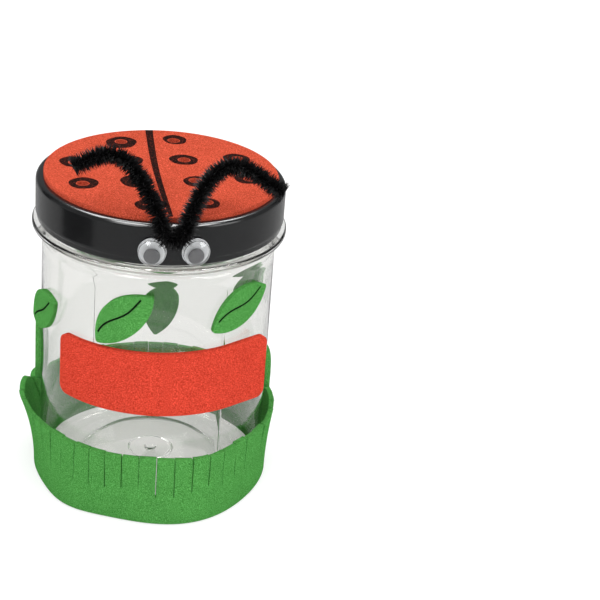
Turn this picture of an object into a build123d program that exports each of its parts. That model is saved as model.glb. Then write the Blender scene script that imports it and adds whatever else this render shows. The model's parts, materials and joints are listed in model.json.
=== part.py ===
"""Bug catcher jar: a clear wide-mouth jar with a black screw lid dressed as a ladybird.

The jar stands on z = 0 with its axis on Z, and its front faces -Y.
Turns are in degrees about the axis, counted from the front towards +X.
"""
import os
from math import atan2, cos, degrees, radians, sin, tan

from build123d import *

os.makedirs("parts", exist_ok=True)

# Clear jar
body_r = 43.5
body_wall = 1.0
body_height = 98.0
heel_radius = 9.0
push_up = 4.5
push_up_foot_r = 29.0
push_up_top_r = 24.0
gate_r = 2.2
gate_drop = 0.7
gate_ring_r = 8.5
gate_ring_width = 0.9
gate_ring_drop = 0.4
neck_inset = 0.6
neck_wall = 1.9
neck_step = 1.0
flange_reach = 1.2
flange_rise = 3.2
flange_height = 2.2
flange_edge = 0.8
finish_height = 14.0
rim_edge = 0.4

# Screw lid and the foam liner under its top
thread_room = 1.7
lid_wall = 1.4
lid_top = 1.6
lid_shoulder = 1.8
lid_foot_height = 2.0
lid_foot_inset = 0.5
lid_flange_gap = 1.1
liner_height = 1.0
liner_side_gap = 0.3
stick_gap = 0.05

# Air holes, a square grid without its corners
air_hole_d = 4.2
air_hole_pitch = 20.5
air_hole_turn = 5.0

# Foam wing cover on the lid
cover_inset = 2.8
cover_height = 2.0
cover_edge = 0.5

# Wiggle eyes on the front of the lid
eye_d = 10.0
eye_turn = 9.25
eye_height = 6.0
eye_pad_d = 8.0
eye_pad_height = 0.7
eye_back_height = 0.6
dome_inset = 0.2
dome_wall = 0.35
dome_side = 1.4
dome_crown = 1.7
pupil_d = 5.6
pupil_height = 0.8
pupil_gap = 0.25

# Antennae, one bent chenille stem glued to the lid between the eyes
pile_r = 3.0
wire_r = 0.6
wire_gap = 0.05
stem_gap = 0.7
stem_drop = 3.5
glue_width = 8.0
glue_height = 3.4
glue_grip = 1.2
arc_share = 0.45
stem_route = [
    (-34.7, 10.5, 22.4),
    (-28.0, 12.2, 25.1),
    (-20.5, 12.9, 26.5),
    (-14.5, 10.7, 22.5),
    (-9.5, 6.5, 15.3),
    (-6.0, 1.5, 6.7),
    (-3.6, 0.0, 0.0),
    (2.6, 0.0, 0.0),
    (5.0, 1.4, 6.3),
    (8.6, 6.1, 14.7),
    (14.0, 9.7, 21.1),
    (20.2, 11.0, 23.4),
    (26.8, 10.0, 21.5),
    (32.5, 7.7, 17.7),
    (37.5, 6.1, 14.9),
]

# Foam cut-outs stuck on the wall
foam_height = 2.0
foam_gap = 0.1
leaf_length = 29.0
leaf_width = 14.4
leaf_tip_radius = 0.8
leaf_turns = [-75.0, -20.8, 37.6, 171.0, 115.0, -98.0, 92.0]
leaf_heights = [72.5, 82.4, 83.3, 47.0, 68.5, 47.0, 40.6]
leaf_tilts = [33.0, 45.0, 23.0, 98.0, 130.0, 85.0, 5.0]
label_turn = 3.2
label_arc = 117.0
label_low = 44.8
label_height = 25.6
label_corner = 3.5

# Grass band, a slit foam strip wrapped loosely round the foot with its blades bent outwards
grass_low = 0.5
grass_height = 28.0
grass_foam = 2.0
grass_gap = 0.2
grass_foot_front = 3.2
grass_foot_sides = 0.6
grass_flare_left = 6.2
grass_flare_right = 1.8
grass_flare_front = 2.8
grass_flare_back = 1.0
grass_slits = 46
grass_slit_width = 0.6
grass_slit_depth = 15.0
grass_seam_turn = -105.0

# Levels and radii that follow from the sizes above
quarter_turn = 90
bore_r = body_r - body_wall
neck_r = body_r - neck_inset
neck_bore_r = neck_r - neck_wall
lid_bore_r = neck_r + thread_room
lid_r = lid_bore_r + lid_wall
flange_r = lid_r + flange_reach
cover_r = lid_r - cover_inset
neck_z = body_height + neck_step
flange_z = neck_z + flange_rise
flange_top_z = flange_z + flange_height
rim_z = flange_top_z + finish_height
stand_r = body_r - heel_radius
lid_low_z = flange_top_z + lid_flange_gap
liner_top_z = rim_z + liner_height
lid_top_z = liner_top_z + lid_top
eye_z = lid_low_z + eye_height
dome_r = eye_d / 2 - dome_inset
dome_bore_r = dome_r - dome_wall
pupil_swing = dome_bore_r - pupil_d / 2 - pupil_gap
stem_foot = Vector(0, -(lid_r + stem_gap + pile_r), lid_top_z - stem_drop)
foam_r = body_r + foam_gap
grass_r = body_r + grass_gap
grass_top_z = grass_low + grass_height
tall = 2 * lid_top_z


def facing_plane(turn, reach, height, tilt=0.0):
    """A plane that faces outwards at a turn, its X sideways and lifted by a tilt."""
    up = Vector(0, 0, 1)
    outward = Vector(sin(radians(turn)), -cos(radians(turn)), 0)
    sideways = Vector(cos(radians(turn)), sin(radians(turn)), 0)
    along = sideways * cos(radians(tilt)) + up * sin(radians(tilt))
    return Plane(outward * reach + up * height, x_dir=along, z_dir=outward)


def section_plane(turn):
    """A plane through the jar's axis, its X outwards at a turn and its Y up."""
    outward = Vector(sin(radians(turn)), -cos(radians(turn)), 0)
    return Plane((0, 0, 0), x_dir=outward, z_dir=outward.cross(Vector(0, 0, 1)))


def route_radii(route):
    """The largest arc that the two runs beside each corner of a route allow."""
    radii = []
    for before, corner, after in zip(route, route[1:], route[2:]):
        run_in = corner - before
        run_out = after - corner
        half_turn = radians(run_in.get_angle(run_out) / 2)
        radii.append(arc_share * min(run_in.length, run_out.length) / tan(half_turn))
    return radii


def crown_arc(edge_r, edge_height, rise):
    """A quarter of a shallow crown, from its edge to its top on the axis."""
    radius = (edge_r**2 + rise**2) / (2 * rise)
    start = degrees(atan2(radius - rise, edge_r))
    return CenterArc((0, edge_height + rise - radius), radius, start, quarter_turn - start)


def air_hole_centres():
    """Centres of the air holes: four rows of four, less the corner holes."""
    steps = [-1.5, -0.5, 0.5, 1.5]
    grid = [(column, row) for column in steps for row in steps if abs(column * row) < 2]
    return [(column * air_hole_pitch, row * air_hole_pitch) for column, row in grid]


def holes_plane(height):
    """A level plane turned with the grid of air holes."""
    return Plane.XY.offset(height).rotated((0, 0, air_hole_turn))


# Jar: blown shell with a push-up base, a carrying flange and a plain finish
with BuildPart() as jar:
    with BuildSketch(Plane.XZ):
        with BuildLine():
            ring_in = gate_ring_r - gate_ring_width / 2
            ring_out = gate_ring_r + gate_ring_width / 2
            Polyline(
                (0, push_up - gate_drop),
                (gate_r, push_up - gate_drop),
                (gate_r, push_up),
                (ring_in, push_up),
                (ring_in, push_up - gate_ring_drop),
                (ring_out, push_up - gate_ring_drop),
                (ring_out, push_up),
                (push_up_top_r, push_up),
                (push_up_foot_r, 0),
                (stand_r, 0),
            )
            CenterArc((stand_r, heel_radius), heel_radius, -quarter_turn, quarter_turn)
            Polyline(
                (body_r, heel_radius),
                (body_r, body_height),
                (neck_r, neck_z),
                (neck_r, flange_z),
                (flange_r, flange_z),
                (flange_r, flange_top_z),
                (neck_r, flange_top_z),
                (neck_r, rim_z),
                (0, rim_z),
                (0, push_up - gate_drop),
            )
        make_face()
    revolve(axis=Axis.Z)
    with BuildSketch(Plane.XZ):
        with BuildLine():
            Polyline(
                (0, push_up + body_wall),
                (push_up_top_r, push_up + body_wall),
                (push_up_foot_r, body_wall),
                (stand_r, body_wall),
            )
            CenterArc((stand_r, heel_radius), heel_radius - body_wall, -quarter_turn, quarter_turn)
            Polyline(
                (bore_r, heel_radius),
                (bore_r, body_height),
                (neck_bore_r, neck_z + neck_step),
                (neck_bore_r, rim_z),
                (0, rim_z),
                (0, push_up + body_wall),
            )
        make_face()
    revolve(axis=Axis.Z, mode=Mode.SUBTRACT)
    circles = jar.edges().filter_by(GeomType.CIRCLE)
    fillet(circles.filter_by(lambda edge: abs(edge.radius - flange_r) < rim_edge), flange_edge)
    fillet(jar.edges().group_by(Axis.Z)[-1], rim_edge)
jar.part.label = "jar"
export_step(jar.part, "parts/jar.step")

# Lid: skirt with a stepped foot and a rounded shoulder, drilled for air
with BuildPart() as lid:
    with BuildSketch(Plane.XZ):
        with BuildLine():
            foot_r = lid_r - lid_foot_inset
            foot_z = lid_low_z + lid_foot_height
            Polyline(
                (0, liner_top_z),
                (lid_bore_r, liner_top_z),
                (lid_bore_r, lid_low_z),
                (foot_r, lid_low_z),
                (foot_r, foot_z),
                (lid_r, foot_z + lid_foot_inset),
                (lid_r, lid_top_z - lid_shoulder),
            )
            CenterArc((lid_r - lid_shoulder, lid_top_z - lid_shoulder), lid_shoulder, 0, quarter_turn)
            Polyline((lid_r - lid_shoulder, lid_top_z), (0, lid_top_z), (0, liner_top_z))
        make_face()
    revolve(axis=Axis.Z)
    with BuildSketch(holes_plane(lid_top_z)):
        with Locations(air_hole_centres()):
            Circle(air_hole_d / 2)
    extrude(amount=-lid_top, mode=Mode.SUBTRACT)
lid.part.label = "lid"
export_step(lid.part, "parts/lid.step")

# Liner: foam disc that seals on the rim, punched with the lid
with BuildPart() as lid_liner:
    with BuildSketch(Plane.XY.offset(rim_z)):
        Circle(lid_bore_r - liner_side_gap)
    extrude(amount=liner_height)
    with BuildSketch(holes_plane(rim_z)):
        with Locations(air_hole_centres()):
            Circle(air_hole_d / 2)
    extrude(amount=liner_height, mode=Mode.SUBTRACT)
lid_liner.part.label = "lid_liner"
export_step(lid_liner.part, "parts/lid_liner.step")

# Wing cover: foam disc stuck on the lid, punched with it
with BuildPart() as wing_cover:
    with BuildSketch(Plane.XY.offset(lid_top_z)):
        Circle(cover_r)
    extrude(amount=cover_height)
    fillet(wing_cover.edges().group_by(Axis.Z)[-1], cover_edge)
    with BuildSketch(holes_plane(lid_top_z)):
        with Locations(air_hole_centres()):
            Circle(air_hole_d / 2)
    extrude(amount=cover_height, mode=Mode.SUBTRACT)
wing_cover.part.label = "wing_cover"
export_step(wing_cover.part, "parts/wing_cover.step")

# Antennae: twisted wire core inside a tube of pile, along one bent route
stem_points = [stem_foot + Vector(*offset) for offset in stem_route]
stem_radii = route_radii(stem_points)
with BuildLine() as stem_path:
    FilletPolyline(*stem_points, radius=stem_radii)
stem_start = Plane(stem_path.line ^ 0)
with BuildPart() as antenna_wire:
    with BuildSketch(stem_start):
        Circle(wire_r)
    sweep(path=stem_path.line)
antenna_wire.part.label = "antenna_wire"
export_step(antenna_wire.part, "parts/antenna_wire.step")

with BuildPart() as antenna_pile:
    with BuildSketch(stem_start):
        Circle(pile_r)
        Circle(wire_r + wire_gap, mode=Mode.SUBTRACT)
    sweep(path=stem_path.line)
antenna_pile.part.label = "antenna_pile"
export_step(antenna_pile.part, "parts/antenna_pile.step")

# Glue: dab that fills the space between the lid and the foot of the stem
foot_ends = [point for point in stem_points if point.Z == stem_foot.Z]
stem_foot_x = sum(point.X for point in foot_ends) / len(foot_ends)
with BuildPart() as antenna_glue:
    with BuildSketch(Plane.XZ.offset(lid_bore_r)):
        with Locations((stem_foot_x, stem_foot.Z)):
            Ellipse(glue_width / 2, glue_height / 2)
    extrude(amount=lid_wall + stem_gap + glue_grip)
    Cylinder(lid_r + stick_gap, tall, mode=Mode.SUBTRACT)
    add(antenna_pile.part, mode=Mode.SUBTRACT)
antenna_glue.part.label = "antenna_glue"
export_step(antenna_glue.part, "parts/antenna_glue.step")

# Eyes: sticky pad, white back, clear dome and the loose pupil hanging inside it
for side, turn in (("left", -eye_turn), ("right", eye_turn)):
    back_reach = lid_r + eye_pad_height
    front_reach = back_reach + eye_back_height
    with BuildPart() as eye_pad:
        with BuildSketch(facing_plane(turn, lid_bore_r, eye_z)):
            Circle(eye_pad_d / 2)
        extrude(amount=lid_wall + eye_pad_height)
        Cylinder(lid_r + stick_gap, tall, mode=Mode.SUBTRACT)
    eye_pad.part.label = f"eye_{side}_pad"
    export_step(eye_pad.part, f"parts/eye_{side}_pad.step")

    with BuildPart() as eye_back:
        with BuildSketch(facing_plane(turn, back_reach, eye_z)):
            Circle(eye_d / 2)
        extrude(amount=eye_back_height)
    eye_back.part.label = f"eye_{side}_back"
    export_step(eye_back.part, f"parts/eye_{side}_back.step")

    eye_face = facing_plane(turn, front_reach, eye_z)
    eye_axis = Axis(eye_face.origin, eye_face.z_dir)
    with BuildPart() as eye_dome:
        with BuildSketch(Plane(eye_face.origin, x_dir=eye_face.x_dir, z_dir=(0, 0, -1))):
            with BuildLine():
                crown_z = dome_side + dome_crown
                Line((dome_bore_r, 0), (dome_r, 0))
                Line((dome_r, 0), (dome_r, dome_side))
                crown_arc(dome_r, dome_side, dome_crown)
                Line((0, crown_z), (0, crown_z - dome_wall))
                crown_arc(dome_bore_r, dome_side, dome_crown - dome_wall)
                Line((dome_bore_r, dome_side), (dome_bore_r, 0))
            make_face()
        revolve(axis=eye_axis)
    eye_dome.part.label = f"eye_{side}_dome"
    export_step(eye_dome.part, f"parts/eye_{side}_dome.step")

    with BuildPart() as eye_pupil:
        with BuildSketch(facing_plane(turn, front_reach + pupil_gap, eye_z)):
            with Locations((0, -pupil_swing)):
                Circle(pupil_d / 2)
        extrude(amount=pupil_height)
    eye_pupil.part.label = f"eye_{side}_pupil"
    export_step(eye_pupil.part, f"parts/eye_{side}_pupil.step")

# Leaves: foam cut-outs bent round the wall
for number, place in enumerate(zip(leaf_turns, leaf_heights, leaf_tilts), start=1):
    turn, height, tilt = place
    with BuildPart() as leaf:
        with BuildSketch(facing_plane(turn, 0, height, tilt)) as outline:
            with BuildLine():
                ThreePointArc((-leaf_length / 2, 0), (0, leaf_width / 2), (leaf_length / 2, 0))
                ThreePointArc((leaf_length / 2, 0), (0, -leaf_width / 2), (-leaf_length / 2, 0))
            make_face()
            fillet(outline.vertices(), leaf_tip_radius)
        extrude(amount=foam_r + 2 * foam_height)
        Cylinder(foam_r + foam_height, tall, mode=Mode.INTERSECT)
        Cylinder(foam_r, tall, mode=Mode.SUBTRACT)
    leaf.part.label = f"leaf_{number}"
    export_step(leaf.part, f"parts/leaf_{number}.step")

# Label: bare foam strip bent round the front of the wall
with BuildPart() as label:
    with BuildSketch(section_plane(label_turn - label_arc / 2)):
        with Locations((foam_r, label_low)):
            Rectangle(foam_height, label_height, align=(Align.MIN, Align.MIN))
    revolve(axis=Axis.Z, revolution_arc=label_arc)
    corner_edges = label.edges().filter_by(GeomType.LINE).filter_by(lambda e: e.length < label_corner)
    fillet(corner_edges, label_corner)
label.part.label = "label"
export_step(label.part, "parts/label.step")

# Grass band: strip that is loose at the foot and leans outwards to the blade tips
foot_size = (grass_r + grass_foot_sides, grass_r + grass_foot_front / 2)
foot_centre = (0, -grass_foot_front / 2)
tip_size = (
    grass_r + (grass_flare_left + grass_flare_right) / 2,
    grass_r + (grass_flare_front + grass_flare_back) / 2,
)
tip_centre = ((grass_flare_right - grass_flare_left) / 2, (grass_flare_back - grass_flare_front) / 2)
with BuildPart() as grass_band:
    for foam, mode in ((grass_foam, Mode.ADD), (0, Mode.SUBTRACT)):
        with BuildSketch(Plane.XY.offset(grass_low)):
            with Locations(foot_centre):
                Ellipse(foot_size[0] + foam, foot_size[1] + foam)
        with BuildSketch(Plane.XY.offset(grass_top_z)):
            with Locations(tip_centre):
                Ellipse(tip_size[0] + foam, tip_size[1] + foam)
        loft(ruled=True, mode=mode)
    slit_length = grass_foam + grass_flare_left + grass_flare_right
    with BuildSketch(Plane.XY.offset(grass_top_z)):
        with PolarLocations(grass_r, grass_slits, start_angle=grass_seam_turn - quarter_turn):
            Rectangle(2 * slit_length, grass_slit_width)
    extrude(amount=-grass_slit_depth, mode=Mode.SUBTRACT)
    with BuildSketch(facing_plane(grass_seam_turn, 0, grass_low)):
        Rectangle(grass_slit_width, grass_height, align=(Align.CENTER, Align.MIN))
    extrude(amount=grass_r + 2 * slit_length, mode=Mode.SUBTRACT)
grass_band.part.label = "grass_band"
export_step(grass_band.part, "parts/grass_band.step")

# The stem's arcs, and its pile's volume against its section times its length
stem_length = stem_path.wire().length
pile_section = antenna_pile.part.volume / stem_length
print("stem arcs", [round(radius, 1) for radius in stem_radii])
print("stem length", round(stem_length, 1), "mean pile section", round(pile_section, 2))
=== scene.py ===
"""Dresses the bug catcher jar: clear plastic, black lid, craft foam, chenille and wiggle eyes.

Lengths are in millimetres until a mesh is made, and turns are in degrees about the jar's axis,
counted from the front, which faces -Y, towards +X.
"""
from __future__ import annotations

import json
import logging
import math
import random
from collections.abc import Callable, Sequence
from dataclasses import dataclass
from enum import Enum
from functools import cached_property

import bmesh
import bpy
from mathutils import Matrix, Vector


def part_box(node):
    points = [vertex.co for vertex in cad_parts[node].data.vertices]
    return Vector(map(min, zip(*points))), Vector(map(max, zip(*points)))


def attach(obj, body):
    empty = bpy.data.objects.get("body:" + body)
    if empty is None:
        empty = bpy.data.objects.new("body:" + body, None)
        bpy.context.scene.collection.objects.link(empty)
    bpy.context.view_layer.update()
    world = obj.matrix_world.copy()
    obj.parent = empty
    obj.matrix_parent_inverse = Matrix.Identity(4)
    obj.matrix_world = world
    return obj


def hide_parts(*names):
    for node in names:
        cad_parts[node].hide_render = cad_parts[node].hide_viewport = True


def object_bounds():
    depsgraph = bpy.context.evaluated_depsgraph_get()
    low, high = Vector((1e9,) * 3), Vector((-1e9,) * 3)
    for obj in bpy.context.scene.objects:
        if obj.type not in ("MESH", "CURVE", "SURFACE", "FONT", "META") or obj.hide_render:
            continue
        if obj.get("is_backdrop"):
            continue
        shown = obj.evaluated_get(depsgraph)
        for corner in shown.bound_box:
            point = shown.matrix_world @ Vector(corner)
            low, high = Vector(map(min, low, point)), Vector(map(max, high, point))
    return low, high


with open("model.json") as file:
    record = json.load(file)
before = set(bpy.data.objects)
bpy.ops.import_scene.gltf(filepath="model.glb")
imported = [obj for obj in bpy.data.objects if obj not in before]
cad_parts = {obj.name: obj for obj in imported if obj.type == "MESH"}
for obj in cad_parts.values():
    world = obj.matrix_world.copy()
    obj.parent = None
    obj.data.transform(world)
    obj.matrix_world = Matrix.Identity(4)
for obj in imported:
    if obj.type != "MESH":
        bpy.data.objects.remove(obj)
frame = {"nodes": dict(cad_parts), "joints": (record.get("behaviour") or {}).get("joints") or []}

MM = 0.001
PHOTO_PIXELS = 600
SENSOR_MM = 36.0
SHARP_FROM = 40.0
ROUNDED_FROM = 50.0
ROUNDING_STEPS = 2
NOISE_LOW = 0.3
NOISE_MIDDLE = 0.5
NOISE_HIGH = 0.7
LOG = logging.getLogger("bug_jar")

Colour = tuple[float, float, float]
Point2 = tuple[float, float]
Point3 = tuple[float, float, float]

WHITE: Colour = (1.0, 1.0, 1.0)


class Body(Enum):
    """The moving bodies that pieces ride on."""

    JAR = "jar"
    LINER = "liner"
    LID = "lid"
    PUPIL_LEFT = "pupil_left"
    PUPIL_RIGHT = "pupil_right"


class Slot(Enum):
    """The record's material slots."""

    CLEAR = "clear_plastic"
    LID = "lid_plastic"
    LINER = "liner_foam"
    RED = "red_foam"
    GREEN = "green_foam"
    PILE = "chenille_pile"
    WIRE = "stem_wire"
    GLUE = "glue"
    PAD = "sticky_pad"
    EYE_WHITE = "eye_white"
    EYE_CLEAR = "eye_clear"
    PUPIL = "pupil_black"


class Relief(Enum):
    """What stands out of a stretch of a turned wall."""

    PLAIN = 0
    PARTING = 1
    THREAD = 2


class Side(Enum):
    """The ladybird's left and right eye, as seen from the front."""

    LEFT = "left"
    RIGHT = "right"


# Small tools for meshes


def box_mm(node: str) -> tuple[Vector, Vector]:
    """Lowest and highest corner of a CAD node, in millimetres."""
    low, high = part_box(node)
    return low / MM, high / MM


def joint_named(name: str) -> dict:
    """The record's row for one joint."""
    return next(joint for joint in frame["joints"] if joint["name"] == name)


def wall_point(turn: float, z: float, r: float) -> Vector:
    """A point at a turn, height and distance from the jar's axis."""
    angle = math.radians(turn)
    return Vector((r * math.sin(angle), -r * math.cos(angle), z))


def arc(centre: Point2, radius: float, start: float, stop: float, steps: int) -> list[Point2]:
    """Points along an arc of a profile.

    Args:
        centre: The arc's centre.
        radius: Its radius.
        start: Angle of its first point, in degrees from the profile's first axis.
        stop: Angle of its last point.
        steps: Number of chords.

    Returns:
        The points, both ends included.
    """
    angles = [math.radians(start + (stop - start) * i / steps) for i in range(steps + 1)]
    return [(centre[0] + radius * math.cos(a), centre[1] + radius * math.sin(a)) for a in angles]


def spread(start: float, stop: float, steps: int) -> list[float]:
    """Evenly spaced values, both ends included."""
    return [start + (stop - start) * i / steps for i in range(steps + 1)]


def link_mesh(name: str, mesh: bpy.types.Mesh) -> bpy.types.Object:
    """Puts a mesh into the scene as an object at the origin.

    Args:
        name: The object's name.
        mesh: Its mesh.

    Returns:
        The object.
    """
    piece = bpy.data.objects.new(name, mesh)
    bpy.context.scene.collection.objects.link(piece)
    return piece


def shade(piece: bpy.types.Object, sharp_from: float = SHARP_FROM) -> None:
    """Shades a piece smooth, with edges sharper than an angle kept crisp."""
    piece.data.polygons.foreach_set("use_smooth", [True] * len(piece.data.polygons))
    piece.data.set_sharp_from_angle(angle=math.radians(sharp_from))


def mesh_piece(name: str, points: Sequence[Vector], faces: Sequence[Sequence[int]]) -> bpy.types.Object:
    """Makes a closed mesh from points in millimetres.

    Args:
        name: The piece's name.
        points: The vertices, in millimetres.
        faces: The faces, as rows of vertex numbers.

    Returns:
        The object, with its normals outwards.
    """
    mesh = bpy.data.meshes.new(name)
    mesh.from_pydata([Vector(point) * MM for point in points], [], faces)
    work = bmesh.new()
    work.from_mesh(mesh)
    bmesh.ops.recalc_face_normals(work, faces=work.faces)
    work.to_mesh(mesh)
    work.free()
    piece = link_mesh(name, mesh)
    shade(piece)
    return piece


def settle(piece: bpy.types.Object, sharp_from: float = SHARP_FROM) -> None:
    """Turns a piece and its modifiers into one plain mesh.

    Args:
        piece: The piece.
        sharp_from: Edges that turn by more than this many degrees are shaded sharp.
    """
    depsgraph = bpy.context.evaluated_depsgraph_get()
    mesh = bpy.data.meshes.new_from_object(piece.evaluated_get(depsgraph))
    piece.modifiers.clear()
    piece.data = mesh
    shade(piece, sharp_from)


def round_edges(piece: bpy.types.Object, width: float) -> None:
    """Rounds a piece's sharp edges.

    Args:
        piece: The piece.
        width: Width of the rounding, in millimetres.
    """
    bevel = piece.modifiers.new("rounded_edges", "BEVEL")
    bevel.width = width * MM
    bevel.segments = ROUNDING_STEPS
    bevel.limit_method = "ANGLE"
    bevel.angle_limit = math.radians(ROUNDED_FROM)
    bevel.use_clamp_overlap = True
    settle(piece)


def wear(piece: bpy.types.Object, material: bpy.types.Material) -> None:
    """Gives the whole piece one material."""
    piece.data.materials.clear()
    piece.data.materials.append(material)


def seat(piece: bpy.types.Object, body: Body, slot: Slot, *nodes: str) -> None:
    """Rides a piece on its body and hides the CAD nodes that it stands for.

    Args:
        piece: The finished piece.
        body: The body that carries it.
        slot: The record's slot; not used.
        nodes: The CAD nodes that it replaces, if any.
    """
    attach(piece, body.value)
    if nodes:
        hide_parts(*nodes)
    LOG.info("%s rides on %s", piece.name, body.value)


def dress_node(node: str, material: bpy.types.Material, slot: Slot) -> None:
    """Gives a CAD node that stays in view its finish.

    Args:
        node: The node's name.
        material: Its finish.
        slot: The record's slot that the finish belongs to; not used.
    """
    piece = frame["nodes"][node]
    wear(piece, material)
    LOG.info("%s keeps its solid", node)


@dataclass(frozen=True)
class Turned:
    """One point of a turned profile, with what stands out of the wall there."""

    r: float
    z: float
    relief: Relief = Relief.PLAIN


def turn_profile(name: str, profile: Sequence[Turned], turns: Sequence[float],
                 rise: Callable[[Turned, float], float]) -> bpy.types.Object:
    """Turns a profile about the axis into a closed mesh.

    Args:
        name: The piece's name.
        profile: Points from the axis, round the section and back to the axis.
        turns: The turns of the mesh's columns, in rising order over a full circle.
        rise: How far a profile's point stands out at a turn.

    Returns:
        The turned object.
    """
    points: list[Vector] = []
    rings: list[list[int]] = []
    for spot in profile:
        if spot.r == 0:
            points.append(Vector((0, 0, spot.z)))
            rings.append([len(points) - 1] * len(turns))
            continue
        rings.append(list(range(len(points), len(points) + len(turns))))
        points += [wall_point(turn, spot.z, spot.r + rise(spot, turn)) for turn in turns]
    faces = []
    for low, high in zip(rings, rings[1:]):
        for i in range(len(turns)):
            k = (i + 1) % len(turns)
            corners = list(dict.fromkeys((low[i], low[k], high[k], high[i])))
            if len(corners) > 2:
                faces.append(corners)
    return mesh_piece(name, points, faces)


def even_turns(count: int) -> list[float]:
    """The turns of a round piece's columns."""
    return [360.0 * i / count for i in range(count)]


def plain_rise(_spot: Turned, _turn: float) -> float:
    """A wall with nothing standing out of it."""
    return 0.0


def wrapped_sheet(name: str, along: Sequence[float], rows: int, outline: Callable[[float], Point2],
                  place: Callable[[float, float, float], Vector], low: float, high: float
                  ) -> bpy.types.Object:
    """Makes a closed sheet whose outline is given along its length.

    Args:
        name: The piece's name.
        along: Stations along the sheet.
        rows: Number of strips across it.
        outline: The middle and half the width at a station.
        place: Where a point of the flat sheet, with its height, lies on the object.
        low: Height of the sheet's back.
        high: Height of its face.

    Returns:
        The sheet.
    """
    points: list[Vector] = []
    wide = rows + 1
    for height in (low, high):
        for station in along:
            middle, half = outline(station)
            points += [place(station, middle + half * (2 * j / rows - 1), height) for j in range(wide)]
    layer = wide * len(along)
    faces = []
    for i in range(len(along) - 1):
        for j in range(rows):
            a = i * wide + j
            quad = (a, a + 1, a + wide + 1, a + wide)
            faces += [quad, tuple(corner + layer for corner in quad)]
    ring = [i * wide for i in range(len(along))]
    ring += [(len(along) - 1) * wide + j for j in range(1, wide)]
    ring += [i * wide + rows for i in reversed(range(len(along) - 1))]
    ring += list(reversed(range(1, rows)))
    for a, b in zip(ring, ring[1:] + ring[:1]):
        faces.append((a, b, b + layer, a + layer))
    return mesh_piece(name, points, faces)


# Node trees


class NodeTree:
    """A node tree that is filled one node at a time."""

    def __init__(self, tree: bpy.types.NodeTree) -> None:
        """Takes the tree that is filled."""
        self.tree = tree

    def add(self, kind: str, **settings: object) -> bpy.types.Node:
        """Adds a node and sets its properties.

        Args:
            kind: The node's type.
            settings: Its properties' values.

        Returns:
            The node.
        """
        node = self.tree.nodes.new(kind)
        for name, value in settings.items():
            setattr(node, name, value)
        return node

    def join(self, source: bpy.types.NodeSocket, target: bpy.types.NodeSocket) -> None:
        """Links two sockets."""
        self.tree.links.new(source, target)


class Shader(NodeTree):
    """A material that is filled one node at a time."""

    def __init__(self, name: str) -> None:
        """Starts a material with a principled surface.

        Args:
            name: The material's name.
        """
        self.material = bpy.data.materials.new(name)
        self.material.use_nodes = True
        super().__init__(self.material.node_tree)
        self.tree.nodes.clear()
        self.surface = self.add("ShaderNodeBsdfPrincipled")
        self.output = self.add("ShaderNodeOutputMaterial")
        self.join(self.surface.outputs["BSDF"], self.output.inputs["Surface"])
        self.coords = self.add("ShaderNodeTexCoord").outputs["Object"]

    def set(self, **values: object) -> None:
        """Sets sockets of the surface, with _ for a space in a socket's name."""
        for name, value in values.items():
            self.surface.inputs[name.replace("_", " ")].default_value = value

    def noise(self, size: float, detail: float, stretch: Point3 = (1.0, 1.0, 1.0)) -> bpy.types.NodeSocket:
        """A noise whose lumps have about the given size in millimetres.

        Args:
            size: Size of a lump.
            detail: Octaves of finer noise.
            stretch: Scale of the pattern along each axis.

        Returns:
            The noise's value socket.
        """
        place = self.add("ShaderNodeMapping")
        place.inputs["Scale"].default_value = stretch
        self.join(self.coords, place.inputs["Vector"])
        lumps = self.add("ShaderNodeTexNoise")
        lumps.inputs["Scale"].default_value = 1.0 / (size * MM)
        lumps.inputs["Detail"].default_value = detail
        self.join(place.outputs["Vector"], lumps.inputs["Vector"])
        return lumps.outputs["Fac"]

    def ramp(self, source: bpy.types.NodeSocket, stops: Sequence[tuple[float, Colour]]
             ) -> bpy.types.NodeSocket:
        """Colours a value by a ramp.

        Args:
            source: The value.
            stops: Positions and colours of the ramp, two or more.

        Returns:
            The colour socket.
        """
        node = self.add("ShaderNodeValToRGB")
        elements = node.color_ramp.elements
        while len(elements) < len(stops):
            elements.new(1.0)
        for element, (position, colour) in zip(elements, stops):
            element.position = position
            element.color = (*colour, 1.0)
        self.join(source, node.inputs["Fac"])
        return node.outputs["Color"]

    def multiply(self, first: bpy.types.NodeSocket, second: bpy.types.NodeSocket
                 ) -> bpy.types.NodeSocket:
        """The product of two colours.

        Args:
            first: One colour.
            second: The other colour.

        Returns:
            The product's socket.
        """
        node = self.add("ShaderNodeMix", data_type="RGBA", blend_type="MULTIPLY")
        node.inputs["Factor"].default_value = 1.0
        colours = [socket for socket in node.inputs if socket.type == "RGBA"]
        self.join(first, colours[0])
        self.join(second, colours[1])
        return next(socket for socket in node.outputs if socket.type == "RGBA")

    def bump(self, height: bpy.types.NodeSocket, depth: float, strength: float) -> None:
        """Roughens the surface by a height map.

        Args:
            height: The height, from 0 to 1.
            depth: What a height of 1 stands for, in millimetres.
            strength: How much of it is seen.
        """
        node = self.add("ShaderNodeBump")
        node.inputs["Strength"].default_value = strength
        node.inputs["Distance"].default_value = depth * MM
        self.join(height, node.inputs["Height"])
        self.join(node.outputs["Normal"], self.surface.inputs["Normal"])

    def vary_roughness(self, source: bpy.types.NodeSocket, low: float, high: float) -> None:
        """Spreads the roughness over a range by a value.

        Args:
            source: The value, from 0 to 1.
            low: Roughness at 0.
            high: Roughness at 1.
        """
        node = self.add("ShaderNodeMapRange")
        node.inputs["To Min"].default_value = low
        node.inputs["To Max"].default_value = high
        self.join(source, node.inputs["Value"])
        self.join(node.outputs["Result"], self.surface.inputs["Roughness"])


def scaled(colour: Colour, factor: float) -> Colour:
    """A colour made lighter or darker."""
    return tuple(min(1.0, part * factor) for part in colour)


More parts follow.
